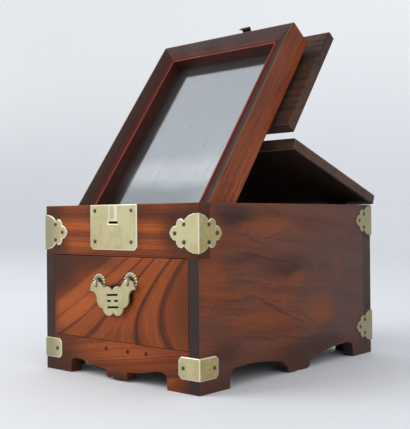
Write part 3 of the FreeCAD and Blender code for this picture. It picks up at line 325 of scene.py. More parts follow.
# Each stop is a level of the figure and how dark the wood is there.
FIGURE_LINES = [
    (-2.2, 0.6), (-1.0, 0.5), (-0.3, 0.42), (-0.1, 0.9), (0.04, 0.92), (0.22, 0.32), (0.75, 0.3),
    (0.93, 0.5), (0.98, 1.0), (1.04, 0.95), (1.15, 0.25), (2.05, 0.22), (2.16, 0.85), (2.22, 0.8),
    (2.3, 0.28), (2.9, 0.3), (2.97, 0.9), (3.03, 0.85), (3.1, 0.22), (3.3, 0.08), (3.8, 0.1),
    (3.94, 0.3), (4.0, 0.85), (4.07, 0.3), (4.3, 0.1), (4.9, 0.15), (5.12, 0.45), (5.25, 0.7),
    (5.4, 0.6), (6.3, 0.7), (8.0, 0.85),
]

# The sides' figure, in millimetres from the front edge and from the floor. Each dark line has
# its middle, its half length and half width, its rise in degrees and its strength.
SIDE_LINES = [
    ((112, 54), (60, 1.5), -20, 0.9), ((148, 47), (28, 1.3), -31, 0.9),
    ((178, 33), (24, 1.2), -3, 0.7), ((197, 49), (18, 1.4), 90, 0.6),
    ((189, 69), (16, 1.1), -48, 0.5), ((152, 93), (19, 1.2), 84, 0.6),
    ((133, 77), (24, 1.2), 3, 0.8), ((178, 92), (36, 1.3), -50, 0.6),
    ((88, 103), (54, 1.9), -8, 0.8), ((72, 118), (32, 1.3), -16, 0.7),
    ((100, 121), (26, 1.0), 4, 0.6), ((60, 84), (50, 1.1), -4, 0.7),
    ((40, 60), (42, 1.0), -4, 0.5), ((72, 37), (50, 1.4), -6, 0.6),
    ((160, 26), (70, 1.6), -8, 0.6), ((45, 138), (36, 3.0), -7, 0.8),
    ((120, 92), (30, 2.4), -3, 0.7), ((168, 118), (16, 1.4), 95, 0.4),
    ((212, 92), (26, 1.5), -56, 0.35), ((30, 96), (26, 1.0), -2, 0.5),
    ((96, 62), (30, 0.9), -16, 0.5),
]
# Warm and dusky places on the sides, with their middle, their half sizes and their strength.
SIDE_GLOWS = [
    ((166, 52), (40, 26), 0.6), ((88, 128), (52, 14), 0.7), ((100, 66), (46, 10), 0.5),
    ((75, 50), (60, 11), 0.5), ((14, 88), (30, 26), 0.65), ((14, 130), (24, 14), 0.4),
    ((133, 85), (20, 9), 0.4), ((60, 76), (60, 8), 0.4), ((200, 90), (18, 22), 0.25),
]
SIDE_DUSK = [
    ((42, 138), (44, 13), 0.8), ((116, 96), (50, 14), 0.55), ((60, 104), (46, 8), 0.4),
    ((30, 30), (34, 14), 0.6), ((150, 18), (90, 16), 0.6),
]

# Places on the front boards, each with its middle and half sizes in millimetres. THROUGH is a
# half size that reaches through a board. The drawer's places of painted shade, round the edges
# of its front, have their strength too.
THROUGH = 900
DRAWER_SHADE = [
    ((-79, 0, 92), (40, THROUGH, 32), 0.95), ((-29, 0, 103), (64, THROUGH, 17), 0.6),
    ((81, 0, 66), (26, THROUGH, 60), 0.4), ((-81, 0, 34), (26, THROUGH, 16), 0.5),
    ((5, 0, 34), (70, THROUGH, 20), 0.3), ((-86, 0, 62), (12, THROUGH, 60), 0.6),
]
DRAWER_GLOW = ((-47, 0, 61), (42, THROUGH, 20))
RAIL_SPOTS = [((-50, -131, 126), (40, 60, 30)), ((44, -131, 124), (24, 60, 16))]
# The rail's and apron's dusky places are painted shade.
RAIL_DUSK = [((10, -131, 146), (60, 60, 10)), ((78, -131, 128), (34, 60, 40)),
             ((-90, -131, 146), (30, 60, 14)), ((-80, -131, 114), (26, 60, 12))]
APRON_SPOTS = [((10, -131, 24), (70, 60, 16))]
APRON_DUSK = [((-75, -131, 10), (42, 60, 34)), ((90, -131, 6), (28, 60, 22)),
              ((0, -131, 2), (30, 60, 7))]

# The frame's ends along Y when the lid is closed, in millimetres.
FRAME_FRONT, FRAME_REAR = -113.0, 116.5

# How much lighter the worn edges are.
WORN_LIFT = 1.5
DRAWER_WORN_LIFT = 1.6


def wavering(graph, value, where, wide, narrow):
    """The figure's lines, made to wander a little as grown wood does."""
    slow = graph.math("MULTIPLY_ADD", graph.noise(where, 0.022, detail=2.0), 2 * wide, -wide)
    quick = graph.math("MULTIPLY_ADD", graph.noise(where, 0.16, detail=3.0), 2 * narrow, -narrow)
    return graph.math("ADD", value, graph.math("ADD", slow, quick))


def ring_shades(graph, darkness, colours, lift=1.0):
    """From the lightest wood through its body to the ring lines."""
    stops = ((0.0, colours.light), (0.42, colours.middle), (1.0, colours.line))
    return graph.ramp(darkness, [(place, lifted(colour, lift)) for place, colour in stops])


def drawer_wood(colours, lift=1.0, name="drawer_wood"):
    """Figured wood whose rings follow the photograph's main lines."""
    graph = Graph(name)
    where = graph.place()
    x, y, z = graph.split(where)
    across = graph.times(x, 1 / FIGURE_ACROSS)
    up = graph.math("MULTIPLY_ADD", z, 1 / FIGURE_UP, -FIGURE_Z / FIGURE_UP)
    level = None
    for (power_x, power_z), share in FIGURE.items():
        term = graph.times(graph.power(across, power_x), graph.power(up, power_z))
        level = graph.math("MULTIPLY_ADD", term, share, 0.0 if level is None else level)
    level = wavering(graph, level, where, 0.09, 0.018)
    rings = graph.profile(level, FIGURE_LINES)
    fine = graph.bands(level, 9.0, detail=5.0, roughness=0.7)
    shades = graph.times(graph.between(fine, 0.35, 0.7), 0.16)
    darkness = graph.math("ADD", graph.times(rings, 0.85), shades, clamp=True)
    colour = ring_shades(graph, darkness, colours, lift)
    # Painted shadow: the wood behind the pull plate, seen through its piercings and beside it, is
    # darkened.
    low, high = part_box("pull_plate")
    behind = graph.patch(where, (low + high) / 2 / MM + Vector((3, 0, 1)),
                         (high - low) / 2 / MM * 0.95 + Vector((0, THROUGH, 0)))
    colour = graph.mix(graph.between(behind, 0.1, 0.5, 0.0, 0.9), colour, paint(30, 17, 12))
    # Painted shade round the drawer front's edges, where the case's boards meet it.
    for centre, size, share in DRAWER_SHADE:
        colour = graph.coat(colour, graph.patch(where, centre, size), share, colours.painted_shade)
    glow = graph.patch(where, *DRAWER_GLOW)
    colour = graph.coat(colour, glow, 0.3, paint(186, 94, 42))
    grain = graph.join(graph.times(level, 17.0), graph.times(z, 0.1), y)
    return wood_surface(graph, grain, (1.0, 0.5, 0.3), colour)


def side_wood(colours, lift=1.0, name="side_wood"):
    """Level grain with the sides' figure, warm and dusky places and dark ends."""
    graph = Graph(name)
    where = graph.place((0, -CASE_FRONT / MM, 0))
    sway = graph.noise(graph.stretch(where, (1, 0.7, 1)), 0.026, detail=1.6, output="Color")
    centred = graph.add("ShaderNodeVectorMath", {0: sway, 1: (-0.5, -0.5, -0.5)}, operation="ADD")
    bent = graph.add("ShaderNodeVectorMath", {0: graph.stretch(centred, (0, 12, 12)), 1: where},
                     operation="ADD")
    x, y, z = graph.split(where)
    bent_y, bent_z = graph.split(bent)[1:]
    grain_level = graph.math("MULTIPLY_ADD", bent_y, 0.1, bent_z)
    broad = graph.bands(grain_level, 0.09, detail=3.0)
    drawn = graph.join(x, graph.times(bent_y, 0.05), grain_level)
    fine = graph.noise(drawn, 0.55, detail=6.0, roughness=0.7)
    darkness = graph.math("ADD", graph.between(broad, 0.3, 0.7, 0.12, 0.42),
                          graph.times(graph.between(fine, 0.35, 0.7), 0.28), clamp=True)
    for centre, size, rise, share in SIDE_LINES:
        line = graph.patch(bent, (0, *centre), (THROUGH, *size), rise)
        darkness = graph.math("MULTIPLY_ADD", line, share * 0.5, darkness, clamp=True)

    def tint(red, green, blue):
        return lifted(paint(red, green, blue), lift)
    colour = graph.ramp(darkness, [(0.0, tint(130, 68, 38)), (0.5, tint(102, 56, 39)),
                                   (1.0, tint(46, 30, 26))])
    cloud = graph.noise(graph.stretch(where, (1, 0.35, 1)), 0.035, detail=3.0)
    dusk = graph.between(y, 80.0, 235.0, 0.0, 0.8)
    smoky = graph.math("ADD", dusk, graph.between(cloud, 0.42, 0.66, -0.1, 0.4), clamp=True)
    colour = graph.coat(colour, smoky, 0.75, colours.side_smoke)
    for centre, size, share in SIDE_DUSK:
        dusky = graph.patch(bent, (0, *centre), (THROUGH, *size))
        colour = graph.coat(colour, dusky, share, tint(52, 34, 30))
    for centre, size, share in SIDE_GLOWS:
        warmth = graph.times(graph.patch(bent, (0, *centre), (THROUGH, *size)), share)
        grain = graph.between(darkness, 0.2, 0.95, 0.95, 0.1)
        colour = graph.coat(colour, warmth, grain, tint(140, 72, 34))
    normal_y = graph.split(graph.add("ShaderNodeNewGeometry", output="Normal"))[1]
    end = graph.between(graph.math("ABSOLUTE", normal_y), 0.6, 0.9)
    rear = graph.between(y, 246.0, 251.0)
    feet = graph.between(z, 30.0, 6.0)
    # The end faces and the rear end take the colour of end grain, and the side also darkens towards
    # the bottom.
    for place, share in ((end, 0.92), (rear, 0.75), (feet, 0.5)):
        colour = graph.coat(colour, place, share, colours.edge_grain)
    grain = graph.join(x, graph.times(bent_y, 0.06), grain_level)
    return wood_surface(graph, grain, (0.3, 1.0, 1.0), colour)


def streaked_wood(name, colours, spots, dusky, tilt=0.0, lift=1.0, end_fade=True):
    """Wood with its streaks along X, bright in spots and darkened with painted shade in dusky
    places and, with end_fade, near its ends.
    """
    graph = Graph(name)
    where = graph.place()
    x, _, z = graph.split(where)
    level = graph.math("MULTIPLY_ADD", x, -tilt, z)
    level = wavering(graph, level, graph.stretch(where, (0.4, 1, 1)), 2.2, 0.3)
    broad = graph.bands(level, 0.11, detail=3.0)
    fine = graph.bands(level, 0.75, detail=4.0)
    darkness = graph.math("ADD", graph.between(broad, 0.3, 0.7, 0.25, 0.7),
                          graph.times(graph.between(fine, 0.35, 0.75), 0.25), clamp=True)
    bright = graph.total([graph.patch(where, *spot) for spot in spots])
    darkness = graph.math("SUBTRACT", darkness, graph.times(bright, 0.26), clamp=True)
    colour = ring_shades(graph, darkness, colours, lift)
    # Painted shade in the dusky places and, with end_fade, near the board's ends.
    shade = graph.total([graph.patch(where, *spot) for spot in dusky])
    if end_fade:
        ends = graph.between(graph.math("ABSOLUTE", x), 78.0, 88.0)
        shade = graph.math("MAXIMUM", shade, ends)
    cloud = graph.noise(graph.stretch(where, (0.5, 1, 1)), 0.05, detail=3.0)
    shade = graph.times(shade, graph.between(cloud, 0.2, 0.6, 0.6, 1.0))
    colour = graph.coat(colour, shade, 0.85, colours.painted_shade)
    return wood_surface(graph, where, (0.06, 1.0, 1.0), colour)


# How slowly plain wood's fibres change along each axis.
ALONG_X = (0.06, 1, 1)
ALONG_Y = (1, 0.05, 1)


def plain_wood(name, light, dark, along=ALONG_X, turn=0.0, location=(0, 0, 0), gloss=0.5,
               under_shade=None):
    """Quiet wood between a light and a dark colour, with fibres along one axis. Faces that
    look down may be darkened with a colour of painted shade."""
    graph = Graph(name)
    where = graph.place(location, turn)
    streaks = graph.noise(graph.stretch(where, along), 0.35, detail=5.0, roughness=0.6)
    clouds = graph.noise(where, 0.03, detail=3.0)
    share = graph.math("ADD", graph.between(streaks, 0.3, 0.7, 0.0, 0.65),
                       graph.between(clouds, 0.35, 0.65, 0.0, 0.35), clamp=True)
    colour = graph.mix(share, light, dark)
    if under_shade:
        # Painted shade: faces that look down are darkened.
        facing = graph.split(graph.add("ShaderNodeNewGeometry", output="Normal"))[2]
        colour = graph.mix(graph.between(facing, -0.3, -0.7, 0.0, 0.85), colour, under_shade)
    return wood_surface(graph, where, along, colour, gloss=gloss)


def closed_leaf():
    """The shift and turn that take the leaf with the mirror back to where it lies closed."""
    turned = Matrix.Rotation(LEAF_TURN, 3, "X") @ FOLD_REST
    return {"location": tuple((FOLD_CLOSED - turned) / MM), "turn": LEAF_TURN}


def frame_wood(name="frame_wood", worn=False):
    """The mirror frame: dark brown face, dark red slope, orange bead and outer sides. The
    light line on the rounded outer edge and the bead's brightness are painted highlights, and the
    dark line in the quirk beside the bead is painted shade.
    """
    graph = Graph(name)
    where = graph.place(**closed_leaf())
    x, y, z = graph.split(where)
    half = -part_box("frame_stile_left")[0].x / MM
    from_side = graph.math("SUBTRACT", half, graph.math("ABSOLUTE", x))
    from_front = graph.math("SUBTRACT", y, FRAME_FRONT)
    from_rear = graph.math("SUBTRACT", FRAME_REAR, y)
    inward = graph.math("MINIMUM", from_side, graph.math("MINIMUM", from_front, from_rear))
    on_side = graph.between(inward, 0.5, 0.1)
    outer = graph.mix(graph.between(y, 0.0, 80.0), paint(140, 70, 38), paint(164, 84, 46))
    # Across the moulding: the light line on the rounded outer edge and the bright bead are painted
    # highlights, and the dark line in the quirk next to the bead is painted shade.
    rolls = graph.profile(inward, [
        (0.0, paint(92, 58, 38)), (0.8, paint(124, 86, 62)), (2.0, paint(66, 44, 33)),
        (5.0, paint(54, 37, 28)), (8.5, paint(58, 36, 28)), (10.0, paint(56, 24, 20)),
        (14.2, paint(84, 30, 24)), (15.2, paint(36, 18, 16)), (16.0, paint(128, 50, 30)),
        (17.2, paint(150, 64, 38)), (18.3, paint(60, 28, 20)),
    ])
    streaks = graph.noise(graph.stretch(where, (0.9, 0.05, 0.9)), 0.5, detail=5.0, roughness=0.65)
    mottled = graph.mix(graph.between(streaks, 0.4, 0.75, 0.0, 0.55), rolls, paint(58, 34, 30))
    side_streaks = graph.mix(graph.between(streaks, 0.35, 0.7), outer, paint(100, 48, 28))
    depth = graph.between(z, 138.0, 128.0)
    side_tone = graph.coat(side_streaks, depth, 0.25, paint(92, 60, 48))
    colour = graph.mix(on_side, mottled, side_tone)
    if worn:
        colour = graph.mix(0.55, colour, paint(214, 168, 140))
    return wood_surface(graph, where, (1.0, 0.07, 1.0), colour, gloss=0.38)


def brass(colours, name="white_brass", highlit=False, aged=0.0):
    """Pale brass with tarnish, duller at the left and back and golden on the right wings. It
    may be made bright with a painted highlight, as on a rim, or aged by a share."""
    graph = Graph(name)
    where = graph.place()
    broad = graph.noise(where, 0.05, detail=4.0, roughness=0.6)
    fine = graph.noise(where, 0.9, detail=5.0, roughness=0.7)
    film = graph.math("ADD", graph.between(broad, 0.42, 0.7, 0.0, 0.55),
                      graph.between(fine, 0.5, 0.75, 0.0, 0.45), clamp=True)
    colour = graph.mix(film, colours.brass, colours.tarnish)
    x, y, _ = graph.split(where)
    dull = graph.between(x, -70.0, -88.0, 0.0, 0.75)
    colour = graph.mix(dull, colour, paint(132, 126, 98))
    behind = graph.between(y, 90.0, 110.0, 0.0, 0.6)
    colour = graph.mix(behind, colour, paint(128, 122, 96))
    stains = graph.between(fine, 0.35, 0.6, 0.25, 0.8)
    golden = graph.times(graph.between(x, 94.6, 95.6), stains)
    colour = graph.coat(colour, golden, graph.between(y, -80.0, -100.0), paint(160, 140, 78))
    if aged:
        film = graph.between(fine, 0.3, 0.7, aged * 0.7, aged)
        colour = graph.mix(film, colour, paint(92, 88, 66))
    # Painted highlight, as on a rim.
    if highlit:
        colour = graph.mix(0.75, colour, colours.highlit)
    scratches = graph.noise(graph.stretch(where, (1, 1, 9)), 1.1, detail=4.0)
    roughness = graph.between(fine, 0.3, 0.7, 0.38, 0.55) if not highlit else 0.36
    height = graph.math("ADD", graph.times(broad, 1.4), graph.times(scratches, 0.2))
    return graph.finish(Base_Color=colour, Metallic=0.62, Roughness=roughness,
                        Normal=graph.bump(height, 0.22, 0.5))


def dark_metal(name, colour, rust, rough=0.5):
    """Dull metal with blotches of another colour."""
    graph = Graph(name)
    where = graph.place()
    blotch = graph.noise(where, 0.35, detail=6.0, roughness=0.65)
    colour = graph.mix(graph.between(blotch, 0.45, 0.7), colour, rust)
    roughness = graph.between(blotch, 0.3, 0.7, rough - 0.1, rough + 0.15)
    return graph.finish(Base_Color=colour, Metallic=0.7, Roughness=roughness,
                        Normal=graph.bump(blotch, 0.4, 0.3))


def old_mirror():
    """Silvered glass gone grey, with a bright band low down and foxing towards its edges. The
    grey's changes along the glass, the bright band and the darker grey below it, are a painted
    reflection.
    """
    graph = Graph("old_mirror")
    where = graph.place(**closed_leaf())
    x, y, _ = graph.split(where)
    clouds = graph.noise(where, 0.018, detail=3.0)
    specks = graph.noise(where, 0.55, detail=6.0, roughness=0.75)
    wear = graph.between(specks, 0.66, 0.74, 0.0, 0.7)
    edge = graph.math("MAXIMUM", graph.between(graph.math("ABSOLUTE", x), 52.0, 66.0),
                      graph.between(graph.math("ABSOLUTE", y), 78.0, 100.0))
    foxing = graph.times(edge, graph.between(specks, 0.42, 0.62))
    # Painted reflection: the grey along the glass, with its bright band low down and darker grey
    # below it.
    down = graph.math("ADD", y, graph.times(clouds, 24.0))
    grey = graph.profile(down, [
        (-80.0, paint(182, 187, 191)), (34.0, paint(186, 191, 195)), (52.0, paint(208, 212, 214)),
        (64.0, paint(204, 209, 212)), (78.0, paint(160, 166, 169)), (110.0, paint(146, 151, 154)),
    ])
    wiped = graph.noise(graph.stretch(where, (1.0, 0.06, 1.0)), 0.5, detail=4.0, roughness=0.7)
    grey = graph.mix(graph.between(wiped, 0.52, 0.75, 0.0, 0.3), grey, paint(132, 138, 142))
    spots = graph.math("MAXIMUM", wear, graph.times(foxing, 0.55))
    colour = graph.mix(spots, grey, paint(74, 70, 66))
    roughness = graph.between(clouds, 0.3, 0.7, 0.09, 0.16)
    return graph.finish(Base_Color=colour, Metallic=0.95, Roughness=roughness)


# Mesh helpers

def shape_of(node, split=True):
    """A CAD piece's mesh with its loose triangles joined into whole faces, split where a face
    goes round a hole."""
    mesh = nodes[node].data.copy()
    shape = bmesh.new()
    shape.from_mesh(mesh)
    bpy.data.meshes.remove(mesh)
    bmesh.ops.remove_doubles(shape, verts=shape.verts, dist=1e-6)
    bmesh.ops.dissolve_limit(shape, angle_limit=math.radians(0.8), verts=shape.verts,
                             edges=shape.edges)
    if split:
        wide = [face for face in shape.faces if len(face.verts) > 4]
        bmesh.ops.connect_verts_concave(shape, faces=wide)
    return shape


def is_nail_hole(face, width=1.4 * MM):
    """Whether a face is the wall of a square nail hole."""
    if len(face.verts) != 4:
        return False
    narrow = [edge for edge in face.edges if abs(edge.calc_length() - width) < 0.02 * MM]
    return len(narrow) == 2


def on_wood(vert, slack=0.05 * MM):
    """Whether a point of a mount lies on the outside of the case."""
    return (abs(abs(vert.co.x) - CASE_HALF) < slack or abs(vert.co.y - CASE_FRONT) < slack
            or abs(vert.co.y - SIDE_HIGH.y) < slack)


def mark_edges(shape, sharpest, seated=False):
    """Gives every sharp edge a bevel weight, apart from those of nail holes and, on a seated
    plate, those that lie on the wood."""
    layer = shape.edges.layers.float.new("bevel_weight_edge")
    for edge in shape.edges:
        if len(edge.link_faces) != 2 or any(is_nail_hole(face) for face in edge.link_faces):
            continue
        if seated and all(on_wood(vert) for vert in edge.verts):
            continue
        if edge.calc_face_angle(0.0) > sharpest:
            edge[layer] = 1.0


def settle(piece, smooth_angle=35.0):
    """Turns a piece with modifiers into a plain mesh with smooth and sharp shading, its wide
    faces kept flat."""
    bake(piece)
    piece.data.shade_smooth()
    piece.data.set_sharp_from_angle(angle=math.radians(smooth_angle))
    weigh = piece.modifiers.new("flat_faces", "WEIGHTED_NORMAL")
    weigh.weight = 100
    weigh.keep_sharp = True
    bake(piece)


def bake(piece):
    """Replaces a piece's mesh and modifiers by the mesh they make."""
    graph = bpy.context.evaluated_depsgraph_get()
    mesh = bpy.data.meshes.new_from_object(piece.evaluated_get(graph))
    old = piece.data
    piece.modifiers.clear()
    piece.data = mesh
    bpy.data.meshes.remove(old)
    mesh.name = piece.name


def new_piece(name, shape, materials):
    """An object in the scene, made from a shape that this frees."""
    mesh = bpy.data.meshes.new(name)
    shape.to_mesh(mesh)
    shape.free()
    for material in materials:
        mesh.materials.append(material)
    piece = bpy.data.objects.new(name, mesh)
    bpy.context.scene.collection.objects.link(piece)
    return piece


def stand_in(piece, node):
    """Lets a piece stand for a CAD node and ride on its body."""
    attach(piece, nodes[node]["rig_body"])
    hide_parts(node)


def dress(node, face, edge, width, segments=2, sharpest=35.0, seated=False):
    """Stands a copy of a CAD piece in for it, with its bevelled edges in their own finish, which
    shows wear on wood and iron and a painted highlight on brass rims. The bevel of a seated plate
    is only clamped on the back mounts, whose edges would cross without it."""
    shape = shape_of(node, split=not seated)
    mark_edges(shape, math.radians(sharpest), seated)
    piece = new_piece(node + "_worn", shape, [face, edge])
    bevel = piece.modifiers.new("worn_and_highlit_edges", "BEVEL")
    bevel.limit_method = "WEIGHT"
    bevel.width = width
    bevel.segments = segments
    bevel.material = 1
    bevel.use_clamp_overlap = not seated or "back" in node
    settle(piece)
    stand_in(piece, node)


def islands(node):
    """The separate solids of a node, each as its list of points."""
    shape = shape_of(node)
    waiting = set(shape.verts)
    found = []
    while waiting:
        stack = [waiting.pop()]
        points = []
        while stack:
            vert = stack.pop()
            points.append(vert.co.copy())
            for edge in vert.link_edges:
                other = edge.other_vert(vert)
                if other in waiting:
                    waiting.remove(other)
                    stack.append(other)
        found.append(points)
    shape.free()
    return found


def nail_seat(points):
    """Where a nail's head sits, and the direction that it faces, from the nail's points."""
    centre = sum(points, Vector()) / len(points)
    tip = max(points, key=lambda point: (point - centre).length)
    wide = [point for point in points if (point - tip).length > 6.0 * MM]
    ends = [point for point in points if (point - tip).length < 2.2 * MM]
    foot = sum(ends, Vector()) / len(ends)
    top = sum(wide, Vector()) / len(wide)
    facing = (top - foot).normalized()
    seat = max((point - foot).dot(facing) for point in points)
    return foot + facing * seat, facing


# Geometry node trees

class Scatter(NodeGraph):
    """A geometry node tree that sets one form on points, and its inputs' identifiers."""

    def __init__(self, name, result, inputs):
        super().__init__(bpy.data.node_groups.new(name, "GeometryNodeTree"))
        self.identifiers = {}
        for label, kind in inputs.items():
            socket = self.tree.interface.new_socket(label, in_out="INPUT",
                                                    socket_type="NodeSocket" + kind)
            self.identifiers[label] = socket.identifier
        self.tree.interface.new_socket(result, in_out="OUTPUT",
                                       socket_type="NodeSocketGeometry")
        self.entry = self.tree.nodes.new("NodeGroupInput").outputs

    def scaled(self, vector, scale):
        return self.add("ShaderNodeVectorMath", {0: vector, "Scale": scale}, operation="SCALE")

    def chance(self, low, high, seed):
        """A random value of the kind FLOAT, whose limits are inputs 2 and 3, from output 1."""
        return self.add("FunctionNodeRandomValue", {2: low, 3: high, "Seed": seed}, output=1,
                        data_type="FLOAT")

    def ball(self, segments, rings):
        return self.add("GeometryNodeMeshUVSphere",
                        {"Segments": segments, "Rings": rings, "Radius": 1.0})

    def spread(self, points, form, rotation, scale):
        """The form on every point, as plain geometry in the tree's finish."""
        placed = self.add("GeometryNodeInstanceOnPoints", {
            "Points": points, "Instance": self.add("GeometryNodeSetShadeSmooth", {0: form}),
            "Rotation": rotation, "Scale": scale})
        solid = self.add("GeometryNodeRealizeInstances", {0: placed})
        return self.add("GeometryNodeSetMaterial",
                        {"Geometry": solid, "Material": self.entry["Finish"]})

    def leave(self, geometry):
        self.feed(self.tree.nodes.new("NodeGroupOutput").inputs[0], geometry)
        return self

    def attach(self, piece, values):
        """Adds the tree to a piece with values for its named inputs."""
        modifier = piece.modifiers.new(self.tree.name, "NODES")
        modifier.node_group = self.tree
        for name, value in values.items():
            modifier[self.identifiers[name]] = value


def nail_scatter():
    """Hammered nail heads on points, each turned and sized a little differently."""
    graph = Scatter("hammered_nails", "Nails", {
        "Points": "Geometry", "Head Radius": "Float", "Head Height": "Float", "Seed": "Int",
        "Finish": "Material",
    })
    radius, height, seed = (graph.entry[name] for name in ("Head Radius", "Head Height", "Seed"))
    lumps = graph.add("ShaderNodeTexNoise", {"Scale": 1.7}, output="Color")
    centred = graph.add("ShaderNodeVectorMath", {0: lumps, 1: (0.5, 0.5, 0.5)},
                        operation="SUBTRACT")
    hammered = graph.add("GeometryNodeSetPosition", {
        "Geometry": graph.ball(14, 10), "Offset": graph.scaled(centred, 0.22)})
    facing = graph.add("GeometryNodeInputNamedAttribute", {"Name": "facing"},
                       output="Attribute", data_type="FLOAT_VECTOR")
    aim = graph.add("FunctionNodeAlignEulerToVector", {"Vector": facing}, axis="Z")
    spin = graph.add("ShaderNodeCombineXYZ", {2: graph.chance(0.0, 6.283, seed)})
    turned = graph.add("FunctionNodeRotateEuler", {"Rotation": aim, "Rotate By": spin},
                       rotation_type="EULER", space="LOCAL")
    size = graph.add("ShaderNodeCombineXYZ", {0: radius, 1: radius, 2: height})
    sized = graph.scaled(size, graph.chance(0.88, 1.0, seed))
    return graph.leave(graph.spread(graph.entry["Points"], hammered, turned, sized))


def bead_scatter():
    """Beads set in a ring round the Y axis, facing the front, added to a rosette."""
    graph = Scatter("bead_ring", "Rosette", {
        "Rosette": "Geometry", "Centre": "Vector", "Ring Radius": "Float",
        "Bead Radius": "Float", "Bead Height": "Float", "Beads": "Int", "Finish": "Material",
    })
    entry = graph.entry
    ring = graph.add("GeometryNodeMeshCircle",
                     {"Vertices": entry["Beads"], "Radius": entry["Ring Radius"]})
    stood = graph.add("GeometryNodeTransform", {
        "Geometry": ring, "Rotation": (math.pi / 2, 0, 0), "Translation": entry["Centre"]})
    scale = graph.add("ShaderNodeCombineXYZ", {
        0: entry["Bead Radius"], 1: entry["Bead Height"], 2: entry["Bead Radius"]})
    beads = graph.spread(stood, graph.ball(12, 8), None, scale)
    joined = graph.add("GeometryNodeJoinGeometry", {0: entry["Rosette"]})
    graph.feed(joined.node.inputs[0], beads)
    return graph.leave(joined)


def skin(shape, rows):
    """Faces between rows of points, with each row closed on itself."""
    for first, second in zip(rows, rows[1:]):
        for step in range(len(first)):
            after = (step + 1) % len(first)
            shape.faces.new((first[step], first[after], second[after], second[step]))


def lathe(outline, centre, steps=48):
    """A turned shape: an outline of (radius, height) points in millimetres, spun round an
    axis that faces the front."""
    shape = bmesh.new()
    across, up, out = Vector((1, 0, 0)), Vector((0, 0, 1)), Vector((0, -1, 0))
    rings = []
    for radius, height in outline:
        ring = []
        for step in range(steps):
            angle = 2 * math.pi * step / steps
            point = across * math.cos(angle) * radius + up * math.sin(angle) * radius + out * height
            ring.append(shape.verts.new(Vector(centre) + point * MM))
        rings.append(ring)
    skin(shape, rings)
    bmesh.ops.remove_doubles(shape, verts=shape.verts, dist=1e-7)
    bmesh.ops.recalc_face_normals(shape, faces=shape.faces)
    return shape


# An eyelet's ring and wire, as radii in millimetres.
EYELET_RING, EYELET_WIRE = 2.1, 0.6


def wire_eyelet(node):
    """A ring of round wire that carries the pull, on a shank whose ends are clinched."""
    low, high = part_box(node)
    middle = (low + high) / 2
    ring_radius, wire, tail = EYELET_RING * MM, EYELET_WIRE * MM, 1.0 * MM
    centre = Vector((middle.x, low.y + ring_radius + wire, middle.z))
    shape = bmesh.new()
    around, across = 32, 12
    rows = []
    for step in range(around):
        angle = 2 * math.pi * step / around
        out = Vector((0, math.cos(angle), math.sin(angle)))
        rows.append([shape.verts.new(centre + out * (ring_radius + wire * math.cos(turn))
                                     + Vector((wire * math.sin(turn), 0, 0)))
                     for turn in (2 * math.pi * part / across for part in range(across))])
    skin(shape, rows + rows[:1])
    start, back = centre.y + ring_radius, high.y
    for z_low, z_high, y_low in ((centre.z - wire, centre.z + wire, start),
                                 (low.z + wire * 0.1, high.z - wire * 0.1, back - tail)):
        size = Vector((wire * 1.7, back - y_low, z_high - z_low))
        place = Vector((centre.x, (y_low + back) / 2, (z_low + z_high) / 2))
        bmesh.ops.create_cube(shape, size=1.0, matrix=Matrix.LocRotScale(place, None, size))
    bmesh.ops.recalc_face_normals(shape, faces=shape.faces)
    return shape


# Operators

class DressOperator:
    """What the operators that dress pieces have in common."""
    bl_options = {"REGISTER"}


class MIRRORBOX_OT_case(DressOperator, bpy.types.Operator):
    """Finish the sides, rail, apron, back and floors of the case"""
    bl_idname = "mirror_box.case"
    bl_label = "Case"

    def execute(self, context):
        wood = context.scene.mirror_box_wood
        width = wood.edge_round
        side = side_wood(wood)
        side_edge = side_wood(wood, WORN_LIFT, "side_wood_worn")
        for hand in ("left", "right"):
            dress("side_" + hand, side, side_edge, width)
        for board, spots, dusk, more in (
                ("rail", RAIL_SPOTS, RAIL_DUSK, {}),
                ("apron", APRON_SPOTS, APRON_DUSK, {"tilt": 0.16, "end_fade": False})):
            face, edge = (streaked_wood(board + name, wood, spots, dusk, lift=lift, **more)
                          for name, lift in (("_wood", 1.0), ("_wood_worn", WORN_LIFT)))
            dress("front_" + board, face, edge, width)
        back = plain_wood("back_wood", paint(88, 66, 56), wood.edge_grain)
        back_edge = plain_wood("back_wood_worn", paint(112, 84, 68), paint(80, 62, 54))
        dress("back_board", back, back_edge, width)
        inner = plain_wood("floor_wood", paint(96, 68, 48), paint(52, 36, 28), ALONG_Y, gloss=0.6)
        for board in ("tray_floor", "bottom_board"):
            dress(board, inner, inner, 0.2 * MM)
        pegs = plain_wood("peg_wood", paint(84, 48, 34), paint(46, 28, 24), (1, 1, 1))
        dress("apron_pegs", pegs, pegs, 0.35 * MM)
        return {"FINISHED"}


class MIRRORBOX_OT_lid(DressOperator, bpy.types.Operator):
    """Finish the two leaves of the lid and the battens"""
    bl_idname = "mirror_box.lid"
    bl_label = "Lid"

    def execute(self, context):
        width = 0.4 * MM
        # The rear leaf's downward faces are darkened with painted shade.
        rear = plain_wood("rear_leaf_wood", paint(104, 74, 60), paint(58, 46, 42),
                          under_shade=paint(30, 21, 17))
        edge = plain_wood("leaf_wood_worn", paint(132, 102, 84), paint(92, 70, 60))
        dress("lid_rear_board", rear, edge, width)
        turned = closed_leaf()
        front = plain_wood("front_leaf_wood", paint(92, 66, 54), paint(46, 32, 27), **turned)
        dress("lid_front_board", front, edge, width)
        batten = plain_wood("batten_wood", paint(84, 54, 40), paint(44, 30, 25), **turned)
        for end in ("front", "rear"):
            dress("batten_" + end, batten, batten, width)
        return {"FINISHED"}


